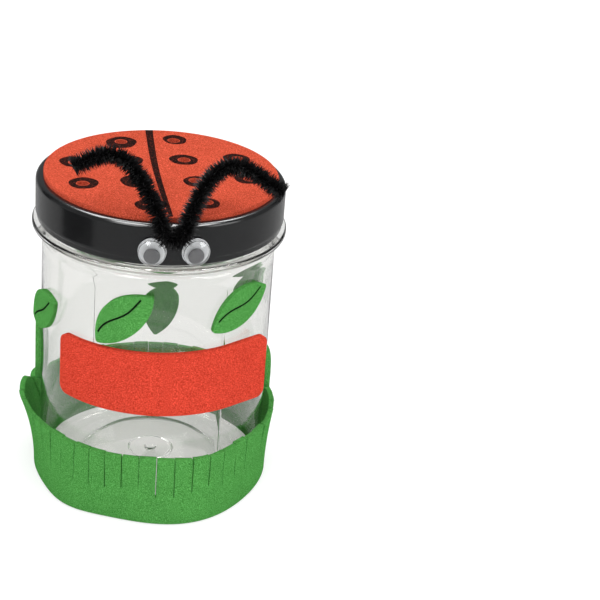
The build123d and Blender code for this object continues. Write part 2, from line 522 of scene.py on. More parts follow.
@dataclass(frozen=True)
class FoamFinish:
    """Craft foam: fine open cells, slightly mottled, quite matt."""

    name: str
    colour: Colour
    grain: float = 0.24
    contrast: float = 0.55
    bloom: float = 0.04
    roughness: float = 0.7
    mottle: float = 9.0
    mottle_shade: float = 0.93
    cell_depth: float = 0.12
    cell_strength: float = 0.7

    def material(self) -> bpy.types.Material:
        """Builds the foam's material.

        Returns:
            The material.
        """
        shader = Shader(self.name)
        grain = shader.noise(self.grain, detail=1.0)
        mottle = shader.noise(self.mottle, detail=2.0)
        dark = scaled(self.colour, 1 - self.contrast)
        light = tuple(part * (1 + self.contrast) + self.bloom for part in self.colour)
        cells = shader.ramp(grain, [(NOISE_LOW, dark), (NOISE_MIDDLE, self.colour), (NOISE_HIGH, light)])
        clouds = shader.ramp(mottle, [(NOISE_LOW, scaled(WHITE, self.mottle_shade)), (NOISE_HIGH, WHITE)])
        shader.join(shader.multiply(cells, clouds), shader.surface.inputs["Base Color"])
        shader.set(Roughness=self.roughness, Specular_IOR_Level=0.0)
        shader.bump(grain, depth=self.cell_depth, strength=self.cell_strength)
        return shader.material


@dataclass(frozen=True)
class InkFinish:
    """Printed ink that lets a little of the foam's grain through."""

    name: str
    colour: Colour
    speck: Colour
    grain: float = 0.7
    roughness: float = 0.62
    grain_depth: float = 0.08
    grain_strength: float = 0.6

    def material(self) -> bpy.types.Material:
        """Builds the ink's material.

        Returns:
            The material.
        """
        shader = Shader(self.name)
        grain = shader.noise(self.grain, detail=1.0)
        specks = shader.ramp(grain, [(NOISE_MIDDLE, self.colour), (NOISE_HIGH, self.speck)])
        shader.join(specks, shader.surface.inputs["Base Color"])
        shader.set(Roughness=self.roughness, Specular_IOR_Level=0.0)
        shader.bump(grain, depth=self.grain_depth, strength=self.grain_strength)
        return shader.material


@dataclass(frozen=True)
class MouldedFinish:
    """Moulded plastic with a faint flow pattern and handling marks."""

    name: str
    colour: Colour
    smooth: float
    rough: float
    flow: float = 26.0
    flow_contrast: float = 0.15
    marks: float = 2.2
    mark_depth: float = 0.02
    mark_strength: float = 0.5

    def material(self) -> bpy.types.Material:
        """Builds the plastic's material.

        Returns:
            The material.
        """
        shader = Shader(self.name)
        flow = shader.noise(self.flow, detail=2.0)
        marks = shader.noise(self.marks, detail=4.0)
        tint = shader.ramp(flow, [(NOISE_LOW, scaled(self.colour, 1 - self.flow_contrast)),
                                  (NOISE_HIGH, scaled(self.colour, 1 + self.flow_contrast))])
        shader.join(tint, shader.surface.inputs["Base Color"])
        shader.vary_roughness(marks, self.smooth, self.rough)
        shader.bump(marks, depth=self.mark_depth, strength=self.mark_strength)
        return shader.material


@dataclass(frozen=True)
class ClearFinish:
    """Clear plastic whose wall is a little wavy, and which light passes without a dark shadow."""

    name: str
    tint: Colour
    index: float
    roughness: float
    wave_depth: float
    passed: Colour = (0.97, 0.97, 0.965)
    wave: float = 14.0
    wave_stretch: Point3 = (1.0, 1.0, 0.35)
    wave_strength: float = 0.6

    def material(self) -> bpy.types.Material:
        """Builds the clear plastic's material.

        Returns:
            The material.
        """
        shader = Shader(self.name)
        waves = shader.noise(self.wave, detail=1.0, stretch=self.wave_stretch)
        shader.set(Base_Color=(*self.tint, 1.0), Roughness=self.roughness, IOR=self.index,
                   Transmission_Weight=1.0)
        shader.bump(waves, depth=self.wave_depth, strength=self.wave_strength)
        passing = shader.add("ShaderNodeBsdfTransparent")
        passing.inputs["Color"].default_value = (*self.passed, 1.0)
        rays = shader.add("ShaderNodeLightPath")
        layer = shader.surface.outputs["BSDF"]
        for ray in ("Is Shadow Ray", "Is Diffuse Ray"):
            mix = shader.add("ShaderNodeMixShader")
            shader.join(rays.outputs[ray], mix.inputs["Fac"])
            shader.join(layer, mix.inputs[1])
            shader.join(passing.outputs["BSDF"], mix.inputs[2])
            layer = mix.outputs["Shader"]
        shader.join(layer, shader.output.inputs["Surface"])
        return shader.material


@dataclass(frozen=True)
class PileFinish:
    """Soft fibres with a low sheen."""

    name: str
    colour: Colour
    tuft: float = 0.5
    dark_stop: float = 0.4
    light_stop: float = 0.75
    lightening: float = 4.0
    roughness: float = 0.5
    sheen: float = 0.15

    def material(self) -> bpy.types.Material:
        """Builds the fibres' material.

        Returns:
            The material.
        """
        shader = Shader(self.name)
        tufts = shader.noise(self.tuft, detail=2.0)
        tones = shader.ramp(tufts, [(self.dark_stop, self.colour),
                                    (self.light_stop, scaled(self.colour, self.lightening))])
        shader.join(tones, shader.surface.inputs["Base Color"])
        shader.set(Roughness=self.roughness, Specular_IOR_Level=self.sheen)
        return shader.material


@dataclass(frozen=True)
class MetalFinish:
    """Drawn steel wire."""

    name: str
    colour: Colour
    grain: float = 0.3
    shade: float = 0.7
    smooth: float = 0.25
    rough: float = 0.45

    def material(self) -> bpy.types.Material:
        """Builds the wire's material.

        Returns:
            The material.
        """
        shader = Shader(self.name)
        drawn = shader.noise(self.grain, detail=2.0)
        tone = shader.ramp(drawn, [(NOISE_LOW, scaled(self.colour, self.shade)), (NOISE_HIGH, self.colour)])
        shader.join(tone, shader.surface.inputs["Base Color"])
        shader.set(Metallic=1.0)
        shader.vary_roughness(drawn, self.smooth, self.rough)
        return shader.material


# Sub-assemblies


@dataclass(frozen=True)
class ScrewThread:
    """A rounded screw thread that starts and ends by running out."""

    start_z: float
    height: float
    half_width: float
    pitch: float = 4.2
    laps: float = 1.4
    run_out: float = 0.06

    def rise(self, turn: float, z: float) -> float:
        """How far the thread stands out of its wall.

        Args:
            turn: The turn about the axis.
            z: The height.

        Returns:
            The rise, zero off the thread.
        """
        best = 0.0
        for lap in range(math.ceil(self.laps) + 1):
            along = turn / 360.0 + lap
            ends = min(1.0, along / self.run_out, (self.laps - along) / self.run_out)
            across = (z - self.start_z - self.pitch * along) / self.half_width
            if ends > 0 and abs(across) < 1:
                best = max(best, self.height * ends * (1 - across * across))
        return best


@dataclass
class ClearJar:
    """The blown jar: push-up base, straight wall, carrying flange and threaded neck."""

    body_r: float = 43.5
    wall: float = 1.0
    body_height: float = 98.0
    heel: float = 9.0
    heel_steps: int = 14
    inner_heel_steps: int = 12
    inner_wall_drop: float = 6.0
    inner_wall_rows: int = 10
    push_up: float = 4.5
    push_foot_r: float = 29.0
    push_foot_round: float = 1.0
    push_foot_rise: float = 0.5
    push_top_r: float = 24.0
    push_top_round: float = 2.0
    push_top_drop: float = 0.4
    gate_r: float = 2.2
    gate_drop: float = 0.7
    gate_edge: float = 0.4
    gate_step: float = 0.3
    gate_ring_r: float = 8.5
    gate_ring_drop: float = 0.35
    gate_ring_slope: float = 0.4
    gate_ring_flat: float = 0.1
    neck_inset: float = 0.6
    neck_wall: float = 1.9
    neck_step: float = 1.0
    shoulder_lead: float = 2.0
    shoulder_edge: float = 0.4
    shoulder_ease: float = 0.15
    bore_ease: float = 0.3
    flange_low: float = 102.2
    flange_high: float = 104.4
    flange_edge: float = 0.8
    flange_root: float = 0.5
    flange_steps: int = 5
    rim_edge: float = 0.4
    rim_steps: int = 4
    thread_lead: float = 1.2
    thread_end: float = 1.0
    thread_rows: int = 44
    columns: int = 192
    parting_turn: float = 29.0
    parting_height: float = 0.14
    parting_half_width: float = 0.45
    parting_crest: float = 0.2
    parting_foot: float = 3.0
    parting_top: float = 81.0
    parting_fade: float = 7.0
    parting_rows: int = 11
    thread: ScrewThread = ScrewThread(start_z=108.0, height=0.8, half_width=1.15)
    plastic: ClearFinish = ClearFinish("clear_jar_plastic", (0.895, 0.895, 0.88), index=1.5, roughness=0.01,
                                       wave_depth=0.25)

    @property
    def neck_r(self) -> float:
        """The neck's radius."""
        return self.body_r - self.neck_inset

    @property
    def bore_r(self) -> float:
        """The radius of the neck's bore."""
        return self.neck_r - self.neck_wall

    @property
    def neck_z(self) -> float:
        """The height where the neck starts."""
        return self.body_height + self.neck_step

    @property
    def stand_r(self) -> float:
        """The radius where the heel meets the ground."""
        return self.body_r - self.heel

    def turns(self) -> list[float]:
        """The mesh's columns, closer together at the parting lines.

        Returns:
            The columns' turns, in rising order.
        """
        crest, foot = self.parting_crest, self.parting_half_width
        fine = [-foot, -crest, 0.0, crest, foot]
        lines = [(self.parting_turn + opposite) % 360 + step for opposite in (0, 180) for step in fine]
        kept = [turn for turn in even_turns(self.columns)
                if all(abs(turn - line) > foot for line in lines)]
        return sorted(kept + lines)

    def base(self) -> list[Point2]:
        """The outside of the base, from the middle of the gate mark out and up the heel.

        Returns:
            The section's points.
        """
        gate_z = self.push_up - self.gate_drop
        ring, ring_z = self.gate_ring_r, self.push_up - self.gate_ring_drop
        gate = [(0, gate_z), (self.gate_r - self.gate_edge, gate_z), (self.gate_r, gate_z + self.gate_step),
                (self.gate_r + self.gate_step, self.push_up)]
        gate_ring = [(ring - self.gate_ring_slope, self.push_up), (ring - self.gate_ring_flat, ring_z),
                     (ring + self.gate_ring_flat, ring_z), (ring + self.gate_ring_slope, self.push_up)]
        push_up = [(self.push_top_r - self.push_top_round, self.push_up),
                   (self.push_top_r, self.push_up - self.push_top_drop),
                   (self.push_foot_r - self.push_foot_round, self.push_foot_rise),
                   (self.push_foot_r + self.push_foot_round, 0.0),
                   (self.stand_r - self.push_foot_round, 0.0)]
        heel = arc((self.stand_r, self.heel), self.heel, -90, 0, self.heel_steps)
        return gate + gate_ring + push_up + heel

    def flange(self) -> list[Point2]:
        """The carrying flange round the foot of the neck.

        Returns:
            The section's points, from below.
        """
        edge, root = self.flange_edge, self.flange_root
        middle_r = box_mm("jar")[1].x - edge
        lower = arc((middle_r, self.flange_low + edge), edge, -90, 0, self.flange_steps)
        upper = arc((middle_r, self.flange_high - edge), edge, 0, 90, self.flange_steps)
        return [(self.neck_r, self.flange_low - root), (self.neck_r + root, self.flange_low), *lower, *upper,
                (self.neck_r + root, self.flange_high), (self.neck_r, self.flange_high + root)]

    def inside(self) -> list[Point2]:
        """The jar's inside, from the foot of the bore down to the middle of the floor.

        Returns:
            The section's points.
        """
        inner_r = self.body_r - self.wall
        floor = self.push_up + self.wall
        shoulder = [(self.bore_r, self.neck_z + self.neck_step),
                    (inner_r - self.bore_ease, self.body_height + 2 * self.bore_ease),
                    (inner_r, self.body_height - self.neck_step)]
        straight = spread(self.body_height - self.inner_wall_drop, self.heel, self.inner_wall_rows)
        heel = arc((self.stand_r, self.heel), self.heel - self.wall, 0, -90, self.inner_heel_steps)
        bowl = [(self.push_foot_r + self.push_foot_round, self.wall),
                (self.push_foot_r - self.push_foot_round, self.wall + self.push_foot_rise),
                (self.push_top_r, floor - self.push_top_drop),
                (self.push_top_r - self.push_top_round, floor), (self.gate_ring_r, floor), (0, floor)]
        return shoulder + [(inner_r, z) for z in straight] + heel[1:] + bowl

    def profile(self) -> list[Turned]:
        """The jar's section, from the gate mark out and up to the rim and back inside.

        Returns:
            The section's points.
        """
        edge, rim_z = self.rim_edge, box_mm("jar")[1].z
        threaded = spread(self.flange_high + self.thread_lead, rim_z - self.thread_end, self.thread_rows)
        rim = arc((self.neck_r - edge, rim_z - edge), edge, 0, 90, self.rim_steps)
        rim += arc((self.bore_r + edge, rim_z - edge), edge, 90, 180, self.rim_steps)
        section = [Turned(r, z) for r, z in self.base()]
        section += [Turned(self.body_r, z, Relief.PARTING)
                    for z in spread(self.heel + self.parting_foot, self.parting_top, self.parting_rows)]
        section += [Turned(self.body_r, self.parting_top + self.parting_fade),
                    Turned(self.body_r, self.body_height - self.shoulder_lead),
                    Turned(self.body_r, self.body_height - self.shoulder_edge),
                    Turned(self.neck_r + self.shoulder_ease, self.neck_z - self.shoulder_ease),
                    Turned(self.neck_r, self.neck_z + self.shoulder_edge)]
        section += [Turned(r, z) for r, z in self.flange()]
        section += [Turned(self.neck_r, z, Relief.THREAD) for z in threaded]
        return section + [Turned(r, z) for r, z in rim + self.inside()]

    def rise(self, spot: Turned, turn: float) -> float:
        """How far the thread or a parting line stands out of the wall.

        Args:
            spot: A point of the section.
            turn: The turn about the axis.

        Returns:
            The rise, in millimetres.
        """
        if spot.relief is Relief.THREAD:
            return self.thread.rise(turn, spot.z)
        if spot.relief is Relief.PARTING:
            off = min(abs((turn - self.parting_turn) % 180), abs((self.parting_turn - turn) % 180))
            return self.parting_height * max(0.0, 1 - off / self.parting_half_width)
        return 0.0

    def build(self) -> None:
        """Builds, dresses and seats the jar."""
        jar = turn_profile("clear_jar", self.profile(), self.turns(), self.rise)
        wear(jar, self.plastic.material())
        seat(jar, Body.JAR, Slot.CLEAR, "jar")


@dataclass
class AirHoles:
    """The air holes: a square grid without its corners."""

    diameter: float = 4.2
    pitch: float = 20.5
    turn: float = 5.0
    steps: tuple[float, ...] = (-1.5, -0.5, 0.5, 1.5)
    sides: int = 28
    sharp_from: float = 30.0

    def centres(self) -> list[Point2]:
        """The holes' centres.

        Returns:
            Their places across the lid.
        """
        corner = max(self.steps) ** 2
        grid = [(x, y) for x in self.steps for y in self.steps if abs(x * y) < corner]
        c, s = math.cos(math.radians(self.turn)), math.sin(math.radians(self.turn))
        return [(self.pitch * (x * c - y * s), self.pitch * (x * s + y * c)) for x, y in grid]

    def drill(self, piece: bpy.types.Object, low: float, high: float) -> None:
        """Cuts the holes through a piece.

        Args:
            piece: The piece that is cut.
            low: A height below the cut.
            high: A height above it.
        """
        points: list[Vector] = []
        faces: list[Sequence[int]] = []
        for x, y in self.centres():
            below = [len(points) + i for i in range(self.sides)]
            above = [corner + self.sides for corner in below]
            ring = arc((x, y), self.diameter / 2, 0, 360 - 360 / self.sides, self.sides - 1)
            points += [Vector((u, v, z)) for z in (low, high) for u, v in ring]
            faces += [below, above]
            for i in range(self.sides):
                k = (i + 1) % self.sides
                faces.append((below[i], below[k], above[k], above[i]))
        drill = mesh_piece("air_hole_drill", points, faces)
        cut = piece.modifiers.new("air_holes", "BOOLEAN")
        cut.operation = "DIFFERENCE"
        cut.solver = "EXACT"
        cut.object = drill
        settle(piece, self.sharp_from)
        bpy.data.objects.remove(drill)


@dataclass
class ScrewLid:
    """The black lid: rounded shoulder, smooth skirt with a stepped foot, thread inside."""

    holes: AirHoles
    wall: float = 1.4
    top: float = 1.6
    shoulder: float = 1.8
    shoulder_steps: int = 10
    ceiling_fillet: tuple[Point2, ...] = ((1.0, 0.0), (0.3, 0.1), (0.0, 0.5))
    thread_lead: float = 1.2
    thread_end: float = 0.6
    thread_rows: int = 44
    foot_height: float = 2.0
    foot_inset: float = 0.5
    foot_step: float = 0.2
    foot_ease: float = 0.05
    skirt_ease: float = 0.15
    skirt_foot: float = 0.5
    skirt_low: float = 1.5
    skirt_high: float = 0.6
    skirt_rows: int = 5
    top_lead: float = 1.5
    edge: float = 0.3
    edge_steps: int = 3
    drill_past: float = 3.0
    columns: int = 192
    thread: ScrewThread = ScrewThread(start_z=106.8, height=0.75, half_width=1.0)
    plastic: MouldedFinish = MouldedFinish("lid_black", (0.009, 0.0095, 0.01), smooth=0.14, rough=0.26)
    liner: FoamFinish = FoamFinish("liner_white", (0.82, 0.81, 0.78), contrast=0.08)

    def profile(self) -> list[Turned]:
        """The lid's section, from the middle of its ceiling down inside, and up outside to the top.

        Returns:
            The section's points.
        """
        low, high = box_mm("lid")
        r, bore_r, ceiling = high.x, high.x - self.wall, high.z - self.top
        foot_r, foot_z = r - self.foot_inset, low.z + self.foot_height
        edge_z, shoulder_z = low.z + self.edge, high.z - self.shoulder
        threaded = spread(ceiling - self.thread_lead, low.z + self.thread_end, self.thread_rows)
        rounds = arc((bore_r + self.edge, edge_z), self.edge, 180, 270, self.edge_steps)
        rounds += arc((foot_r - self.edge, edge_z), self.edge, -90, 0, self.edge_steps)
        shoulder = arc((r - self.shoulder, shoulder_z), self.shoulder, 0, 90, self.shoulder_steps)
        section = [Turned(0, ceiling), Turned(bore_r / 2, ceiling)]
        section += [Turned(bore_r - inward, ceiling - down) for inward, down in self.ceiling_fillet]
        section += [Turned(bore_r, z, Relief.THREAD) for z in threaded]
        section += [Turned(u, v) for u, v in rounds]
        section += [Turned(foot_r, foot_z - self.foot_step), Turned(foot_r + self.foot_ease, foot_z),
                    Turned(r - self.skirt_ease, foot_z + self.foot_step), Turned(r, foot_z + self.skirt_foot)]
        section += [Turned(r, z)
                    for z in spread(foot_z + self.skirt_low, shoulder_z - self.skirt_high, self.skirt_rows)]
        section += [Turned(u, v) for u, v in shoulder]
        return section + [Turned(r - self.shoulder - self.top_lead, high.z), Turned(r / 2, high.z),
                          Turned(0, high.z)]

    def rise(self, spot: Turned, turn: float) -> float:
        """The inner thread, which stands in towards the axis and ends clear of the neck's own."""
        return -self.thread.rise(turn, spot.z) if spot.relief is Relief.THREAD else 0.0

    def build(self) -> None:
        """Builds, dresses and seats the lid, and dresses its liner."""
        lid = turn_profile("screw_lid", self.profile(), even_turns(self.columns), self.rise)
        high = box_mm("lid")[1].z
        self.holes.drill(lid, high - self.top - self.drill_past, high + self.drill_past)
        wear(lid, self.plastic.material())
        seat(lid, Body.LID, Slot.LID, "lid")
        dress_node("lid_liner", self.liner.material(), Slot.LINER)


@dataclass
class WingCover:
    """The red foam disc on the lid, with its printed spots and the line between the wings."""

    holes: AirHoles
    red: bpy.types.Material
    ink: bpy.types.Material
    edge: float = 0.45
    edge_steps: int = 4
    sides: int = 144
    drill_past: float = 1.0
    ink_height: float = 0.05
    ink_margin: float = 0.35
    spot_seed: int = 12
    spot_r: Point2 = (4.7, 6.1)
    spot_slip: Point2 = (-1.1, 1.1)
    spot_lobe: Point2 = (0.02, 0.06)
    spot_phase: Point2 = (0.0, 6.28)
    spot_ripple: float = 0.02
    spot_ripples: int = 5
    spot_sides: int = 40
    line_back: float = 2.9
    line_front: float = 1.3
    line_taper: float = 0.6
    line_x: float = -1.0
    line_bow: float = 1.2
    line_stations: int = 24
    line_rows: int = 2

    def disc(self) -> bpy.types.Object:
        """The punched disc, with a softened rim.

        Returns:
            The disc.
        """
        low, high = box_mm("wing_cover")
        r = (high.x - low.x) / 2
        rim = arc((r - self.edge, high.z - self.edge), self.edge, 0, 90, self.edge_steps)
        section = [Turned(0, low.z), Turned(r / 2, low.z), Turned(r, low.z)]
        section += [Turned(u, v) for u, v in rim]
        section += [Turned(r / 2, high.z), Turned(0, high.z)]
        disc = turn_profile("wing_cover_foam", section, even_turns(self.sides), plain_rise)
        self.holes.drill(disc, low.z - self.drill_past, high.z + self.drill_past)
        return disc

    def spots(self) -> bpy.types.Object:
        """The printed spots, each an uneven round with an air hole off its middle.

        Returns:
            All the spots as one piece.
        """
        draw = random.Random(self.spot_seed)
        top = box_mm("wing_cover")[1].z
        hole_r = self.holes.diameter / 2 + self.ink_margin
        sides = self.spot_sides
        angles = [2 * math.pi * i / sides for i in range(sides)]
        outer_low, inner_low, outer_high, inner_high = range(4)
        walls = ((outer_high, inner_high), (outer_low, inner_low), (outer_low, outer_high),
                 (inner_low, inner_high))
        points: list[Vector] = []
        faces: list[Sequence[int]] = []
        for x, y in self.holes.centres():
            radius = draw.uniform(*self.spot_r)
            slip_x, slip_y = draw.uniform(*self.spot_slip), draw.uniform(*self.spot_slip)
            lobe, phase = draw.uniform(*self.spot_lobe), draw.uniform(*self.spot_phase)
            start = len(points)
            for z in (top - self.edge, top + self.ink_height):
                for angle in angles:
                    ripple = self.spot_ripple * math.sin(self.spot_ripples * angle)
                    reach = radius * (1 + lobe * math.sin(2 * angle + phase) + ripple)
                    points.append(Vector((x + slip_x + reach * math.cos(angle),
                                          y + slip_y + reach * math.sin(angle), z)))
                points += [Vector((x + hole_r * math.cos(angle), y + hole_r * math.sin(angle), z))
                           for angle in angles]
            for i in range(sides):
                k = (i + 1) % sides
                for one, two in ((start + a * sides, start + b * sides) for a, b in walls):
                    faces.append((one + i, one + k, two + k, two + i))
        return mesh_piece("wing_spots", points, faces)

    def line_outline(self, station: float) -> Point2:
        """The line's middle and half its width: broad at the back and narrow at the front.

        Args:
            station: Distance back from the cover's middle.

        Returns:
            The middle and half the width, in millimetres.
        """
        back = box_mm("wing_cover")[1].y - self.edge
        share = (station + back) / (2 * back)
        half = (self.line_front + (self.line_back - self.line_front) * share**self.line_taper) / 2
        return self.line_x - self.line_bow * math.cos(math.pi * (share - 0.5)), half

    def line_place(self, station: float, across: float, height: float) -> Vector:
        """A point of the line on the cover."""
        return Vector((across, station, height))

    def line(self) -> bpy.types.Object:
        """The line between the wings.

        Returns:
            The line's piece.
        """
        high = box_mm("wing_cover")[1]
        back = high.y - self.edge
        stations = spread(-back, back, self.line_stations)
        return wrapped_sheet("wing_line", stations, self.line_rows, self.line_outline, self.line_place,
                             high.z - self.edge, high.z + self.ink_height)

    def build(self) -> None:
        """Builds, dresses and seats the cover and its print."""
        disc = self.disc()
        wear(disc, self.red)
        seat(disc, Body.LID, Slot.RED, "wing_cover")
        for print_piece in (self.spots(), self.line()):
            wear(print_piece, self.ink)
            seat(print_piece, Body.LID, Slot.RED)


@dataclass
class WiggleEye:
    """One eye: white back, clear dome and the loose pupil that hangs inside it."""

    side: Side
    white: bpy.types.Material
    clear: bpy.types.Material
    black: bpy.types.Material
    back_thickness: float = 0.6
    back_edge: float = 0.25
    dome_inset: float = 0.2
    dome_wall: float = 0.35
    dome_side: float = 1.4
    dome_crown: float = 1.7
    dome_foot: float = 0.3
    dome_steps: int = 14
    pupil_back: float = 0.25
    pupil_face: float = 1.05
    pupil_edge: float = 0.2
    edge_steps: int = 4
    inner_share: float = 0.6
    columns: int = 64

    @property
    def joint(self) -> dict:
        """The record's row for the pupil's joint."""
        return joint_named(f"pupil_{self.side.value}_swing")

    def placing(self) -> Matrix:
        """The frame of the eye: X sideways, Y up and Z out, at the front of its back.

        Returns:
            The frame, in metres.
        """
        outward = Vector(self.joint["axis"]).normalized()
        upward = Vector((0, 0, 1))
        turned = Matrix((upward.cross(outward), upward, outward)).transposed().to_4x4()
        return Matrix.Translation(Vector(self.joint["pos_m"])) @ turned

    def put(self, piece: bpy.types.Object, shift: Vector) -> bpy.types.Object:
        """Moves a piece's mesh from the workbench to the eye.

        Args:
            piece: A piece turned about Z.
            shift: Its place in the eye's frame, in millimetres.

        Returns:
            The same piece.
        """
        piece.data.transform(self.placing() @ Matrix.Translation(shift * MM))
        return piece

    def disc(self, name: str, r: float, low: float, high: float, edge: float) -> bpy.types.Object:
        """A flat round with softened edges.

        Args:
            name: The piece's name.
            r: Its radius.
            low: Height of its back.
            high: Height of its face.
            edge: Radius of its edges.

        Returns:
            The disc, on the workbench.
        """
        rim = arc((r - edge, low + edge), edge, -90, 0, self.edge_steps)
        rim += arc((r - edge, high - edge), edge, 0, 90, self.edge_steps)
        section = [Turned(0, low), Turned(r * self.inner_share, low)]
        section += [Turned(u, v) for u, v in rim]
        section += [Turned(r * self.inner_share, high), Turned(0, high)]
        return turn_profile(name, section, even_turns(self.columns), plain_rise)

    def crown(self, r: float, rise: float) -> list[Turned]:
        """A shallow crown from its edge to its top.

        Args:
            r: Radius of its edge.
            rise: Height of its top over its edge.

        Returns:
            The section's points.
        """
        radius = (r * r + rise * rise) / (2 * rise)
        start = math.degrees(math.atan2(radius - rise, r))
        points = arc((0, self.dome_side + rise - radius), radius, start, 90, self.dome_steps)
        return [Turned(u, v) for u, v in points[:-1]] + [Turned(0, points[-1][1])]

    def dome(self, r: float) -> bpy.types.Object:
        """The clear dome, a thin shell.

        Args:
            r: Its radius.

        Returns:
            The dome, on the workbench.
        """
        bore = r - self.dome_wall
        section = self.crown(r, self.dome_crown)[::-1]
        section += [Turned(r, self.dome_foot), Turned(r, 0), Turned(bore, 0), Turned(bore, self.dome_foot)]
        section += self.crown(bore, self.dome_crown - self.dome_wall)
        name = f"eye_{self.side.value}_clear_dome"
        return turn_profile(name, section, even_turns(self.columns), plain_rise)

    def build(self) -> None:
        """Builds, dresses and seats the eye."""
        side = self.side.value
        low, high = box_mm(f"eye_{side}_back")
        r = (high.z - low.z) / 2
        back = self.disc(f"eye_{side}_white", r, -self.back_thickness, 0.0, self.back_edge)
        self.put(back, Vector())
        dome = self.put(self.dome(r - self.dome_inset), Vector())
        pupil_low, pupil_high = box_mm(f"eye_{side}_pupil")
        pupil_r = (pupil_high.z - pupil_low.z) / 2
        hang = (pupil_low.z + pupil_high.z) / 2 - self.joint["pos_m"][2] / MM
        pupil = self.disc(f"eye_{side}_black", pupil_r, self.pupil_back, self.pupil_face, self.pupil_edge)
        self.put(pupil, Vector((0, hang, 0)))
        wear(back, self.white)
        wear(dome, self.clear)
        wear(pupil, self.black)
        seat(back, Body.LID, Slot.EYE_WHITE, f"eye_{side}_back")
        seat(dome, Body.LID, Slot.EYE_CLEAR, f"eye_{side}_dome")
        seat(pupil, Body(f"pupil_{side}"), Slot.PUPIL, f"eye_{side}_pupil")


class NodeMaker(NodeTree):
    """A geometry node tree that is filled one node at a time."""

    def __init__(self, name: str) -> None:
        """Starts a tree that takes and gives geometry.

        Args:
            name: The tree's name.
        """
        super().__init__(bpy.data.node_groups.new(name, "GeometryNodeTree"))
        for way in ("INPUT", "OUTPUT"):
            self.tree.interface.new_socket("Geometry", in_out=way, socket_type="NodeSocketGeometry")
        self.entry = self.add("NodeGroupInput")
        self.exit = self.add("NodeGroupOutput")
        self.keys: dict[str, str] = {}

    def size(self, name: str, kind: str, value: object) -> bpy.types.NodeSocket:
        """Adds a named input.

        Args:
            name: The input's name.
            kind: Its socket type.
            value: Its first value.

        Returns:
            The input's socket inside the tree.
        """
        socket = self.tree.interface.new_socket(name, in_out="INPUT", socket_type=kind)
        if value is not None:
            socket.default_value = value
        self.keys[name] = socket.identifier
        return self.entry.outputs[name]

    def feed(self, sockets: Sequence[bpy.types.NodeSocket], values: Sequence[object]) -> None:
        """Links or sets sockets, one for each value.

        Args:
            sockets: The sockets, at least as many as the values.
            values: Sockets to link or plain values to set.
        """
        for socket, value in zip(sockets, values):
            if isinstance(value, bpy.types.NodeSocket):
                self.join(value, socket)
            else:
                socket.default_value = value

    def sums(self, operation: str, *values: object) -> bpy.types.NodeSocket:
        """A sum on numbers, from sockets or plain values.

        Args:
            operation: The sum's kind.
            values: What goes in.

        Returns:
            The result's socket.
        """
        node = self.add("ShaderNodeMath", operation=operation)
        self.feed(node.inputs, values)
        return node.outputs[0]

    def vectors(self, operation: str, *values: object) -> bpy.types.NodeSocket:
        """A sum on vectors, from sockets or plain values.

        Args:
            operation: The sum's kind.
            values: What goes in.

        Returns:
            The result's socket.
        """
        node = self.add("ShaderNodeVectorMath", operation=operation)
        self.feed(node.inputs, values)
        return node.outputs[0]

    def scale(self, vector: bpy.types.NodeSocket, factor: bpy.types.NodeSocket) -> bpy.types.NodeSocket:
        """A vector times a number.

        Args:
            vector: The vector.
            factor: The number.

        Returns:
            The product's socket.
        """
        node = self.add("ShaderNodeVectorMath", operation="SCALE")
        self.join(vector, node.inputs[0])
        self.join(factor, node.inputs["Scale"])
        return node.outputs[0]

    def chance(self, bounds: Point2, seed: int) -> bpy.types.NodeSocket:
        """A random number for each point, with a fixed seed.

        Args:
            bounds: The least and the greatest number.
            seed: The seed.

        Returns:
            The number's socket.
        """
        node = self.add("FunctionNodeRandomValue", data_type="FLOAT")
        self.feed([socket for socket in node.inputs if socket.type == "VALUE"], bounds)
        node.inputs["Seed"].default_value = seed
        return next(socket for socket in node.outputs if socket.type == "VALUE")

    def around(self, normal: bpy.types.NodeSocket, side: bpy.types.NodeSocket, angle: bpy.types.NodeSocket
               ) -> bpy.types.NodeSocket:
        """The direction at an angle round a line.

        Args:
            normal: The direction at no angle.
            side: The direction a quarter turn on.
            angle: The angle, in radians.

        Returns:
            The direction's socket.
        """
        return self.vectors("ADD", self.scale(normal, self.sums("COSINE", angle)),
                            self.scale(side, self.sums("SINE", angle)))

    def finish(self, geometry: bpy.types.NodeSocket, material: bpy.types.NodeSocket) -> None:
        """Ends the tree in plain, dressed geometry.

        Args:
            geometry: What the tree made.
            material: What it wears.
        """
        real = self.add("GeometryNodeRealizeInstances")
        self.join(geometry, real.inputs["Geometry"])
        dress = self.add("GeometryNodeSetMaterial")
        self.join(real.outputs["Geometry"], dress.inputs["Geometry"])
        self.join(material, dress.inputs["Material"])
        self.join(dress.outputs["Geometry"], self.exit.inputs["Geometry"])

    def run(self, piece: bpy.types.Object, **values: object) -> None:
        """Runs the tree on a piece and keeps the plain mesh.

        Args:
            piece: The piece that the tree starts from.
            values: The inputs' values, by name.
        """
        modifier = piece.modifiers.new(self.tree.name, "NODES")
        modifier.node_group = self.tree
        for name, value in values.items():
            modifier[self.keys[name]] = value
        settle(piece)


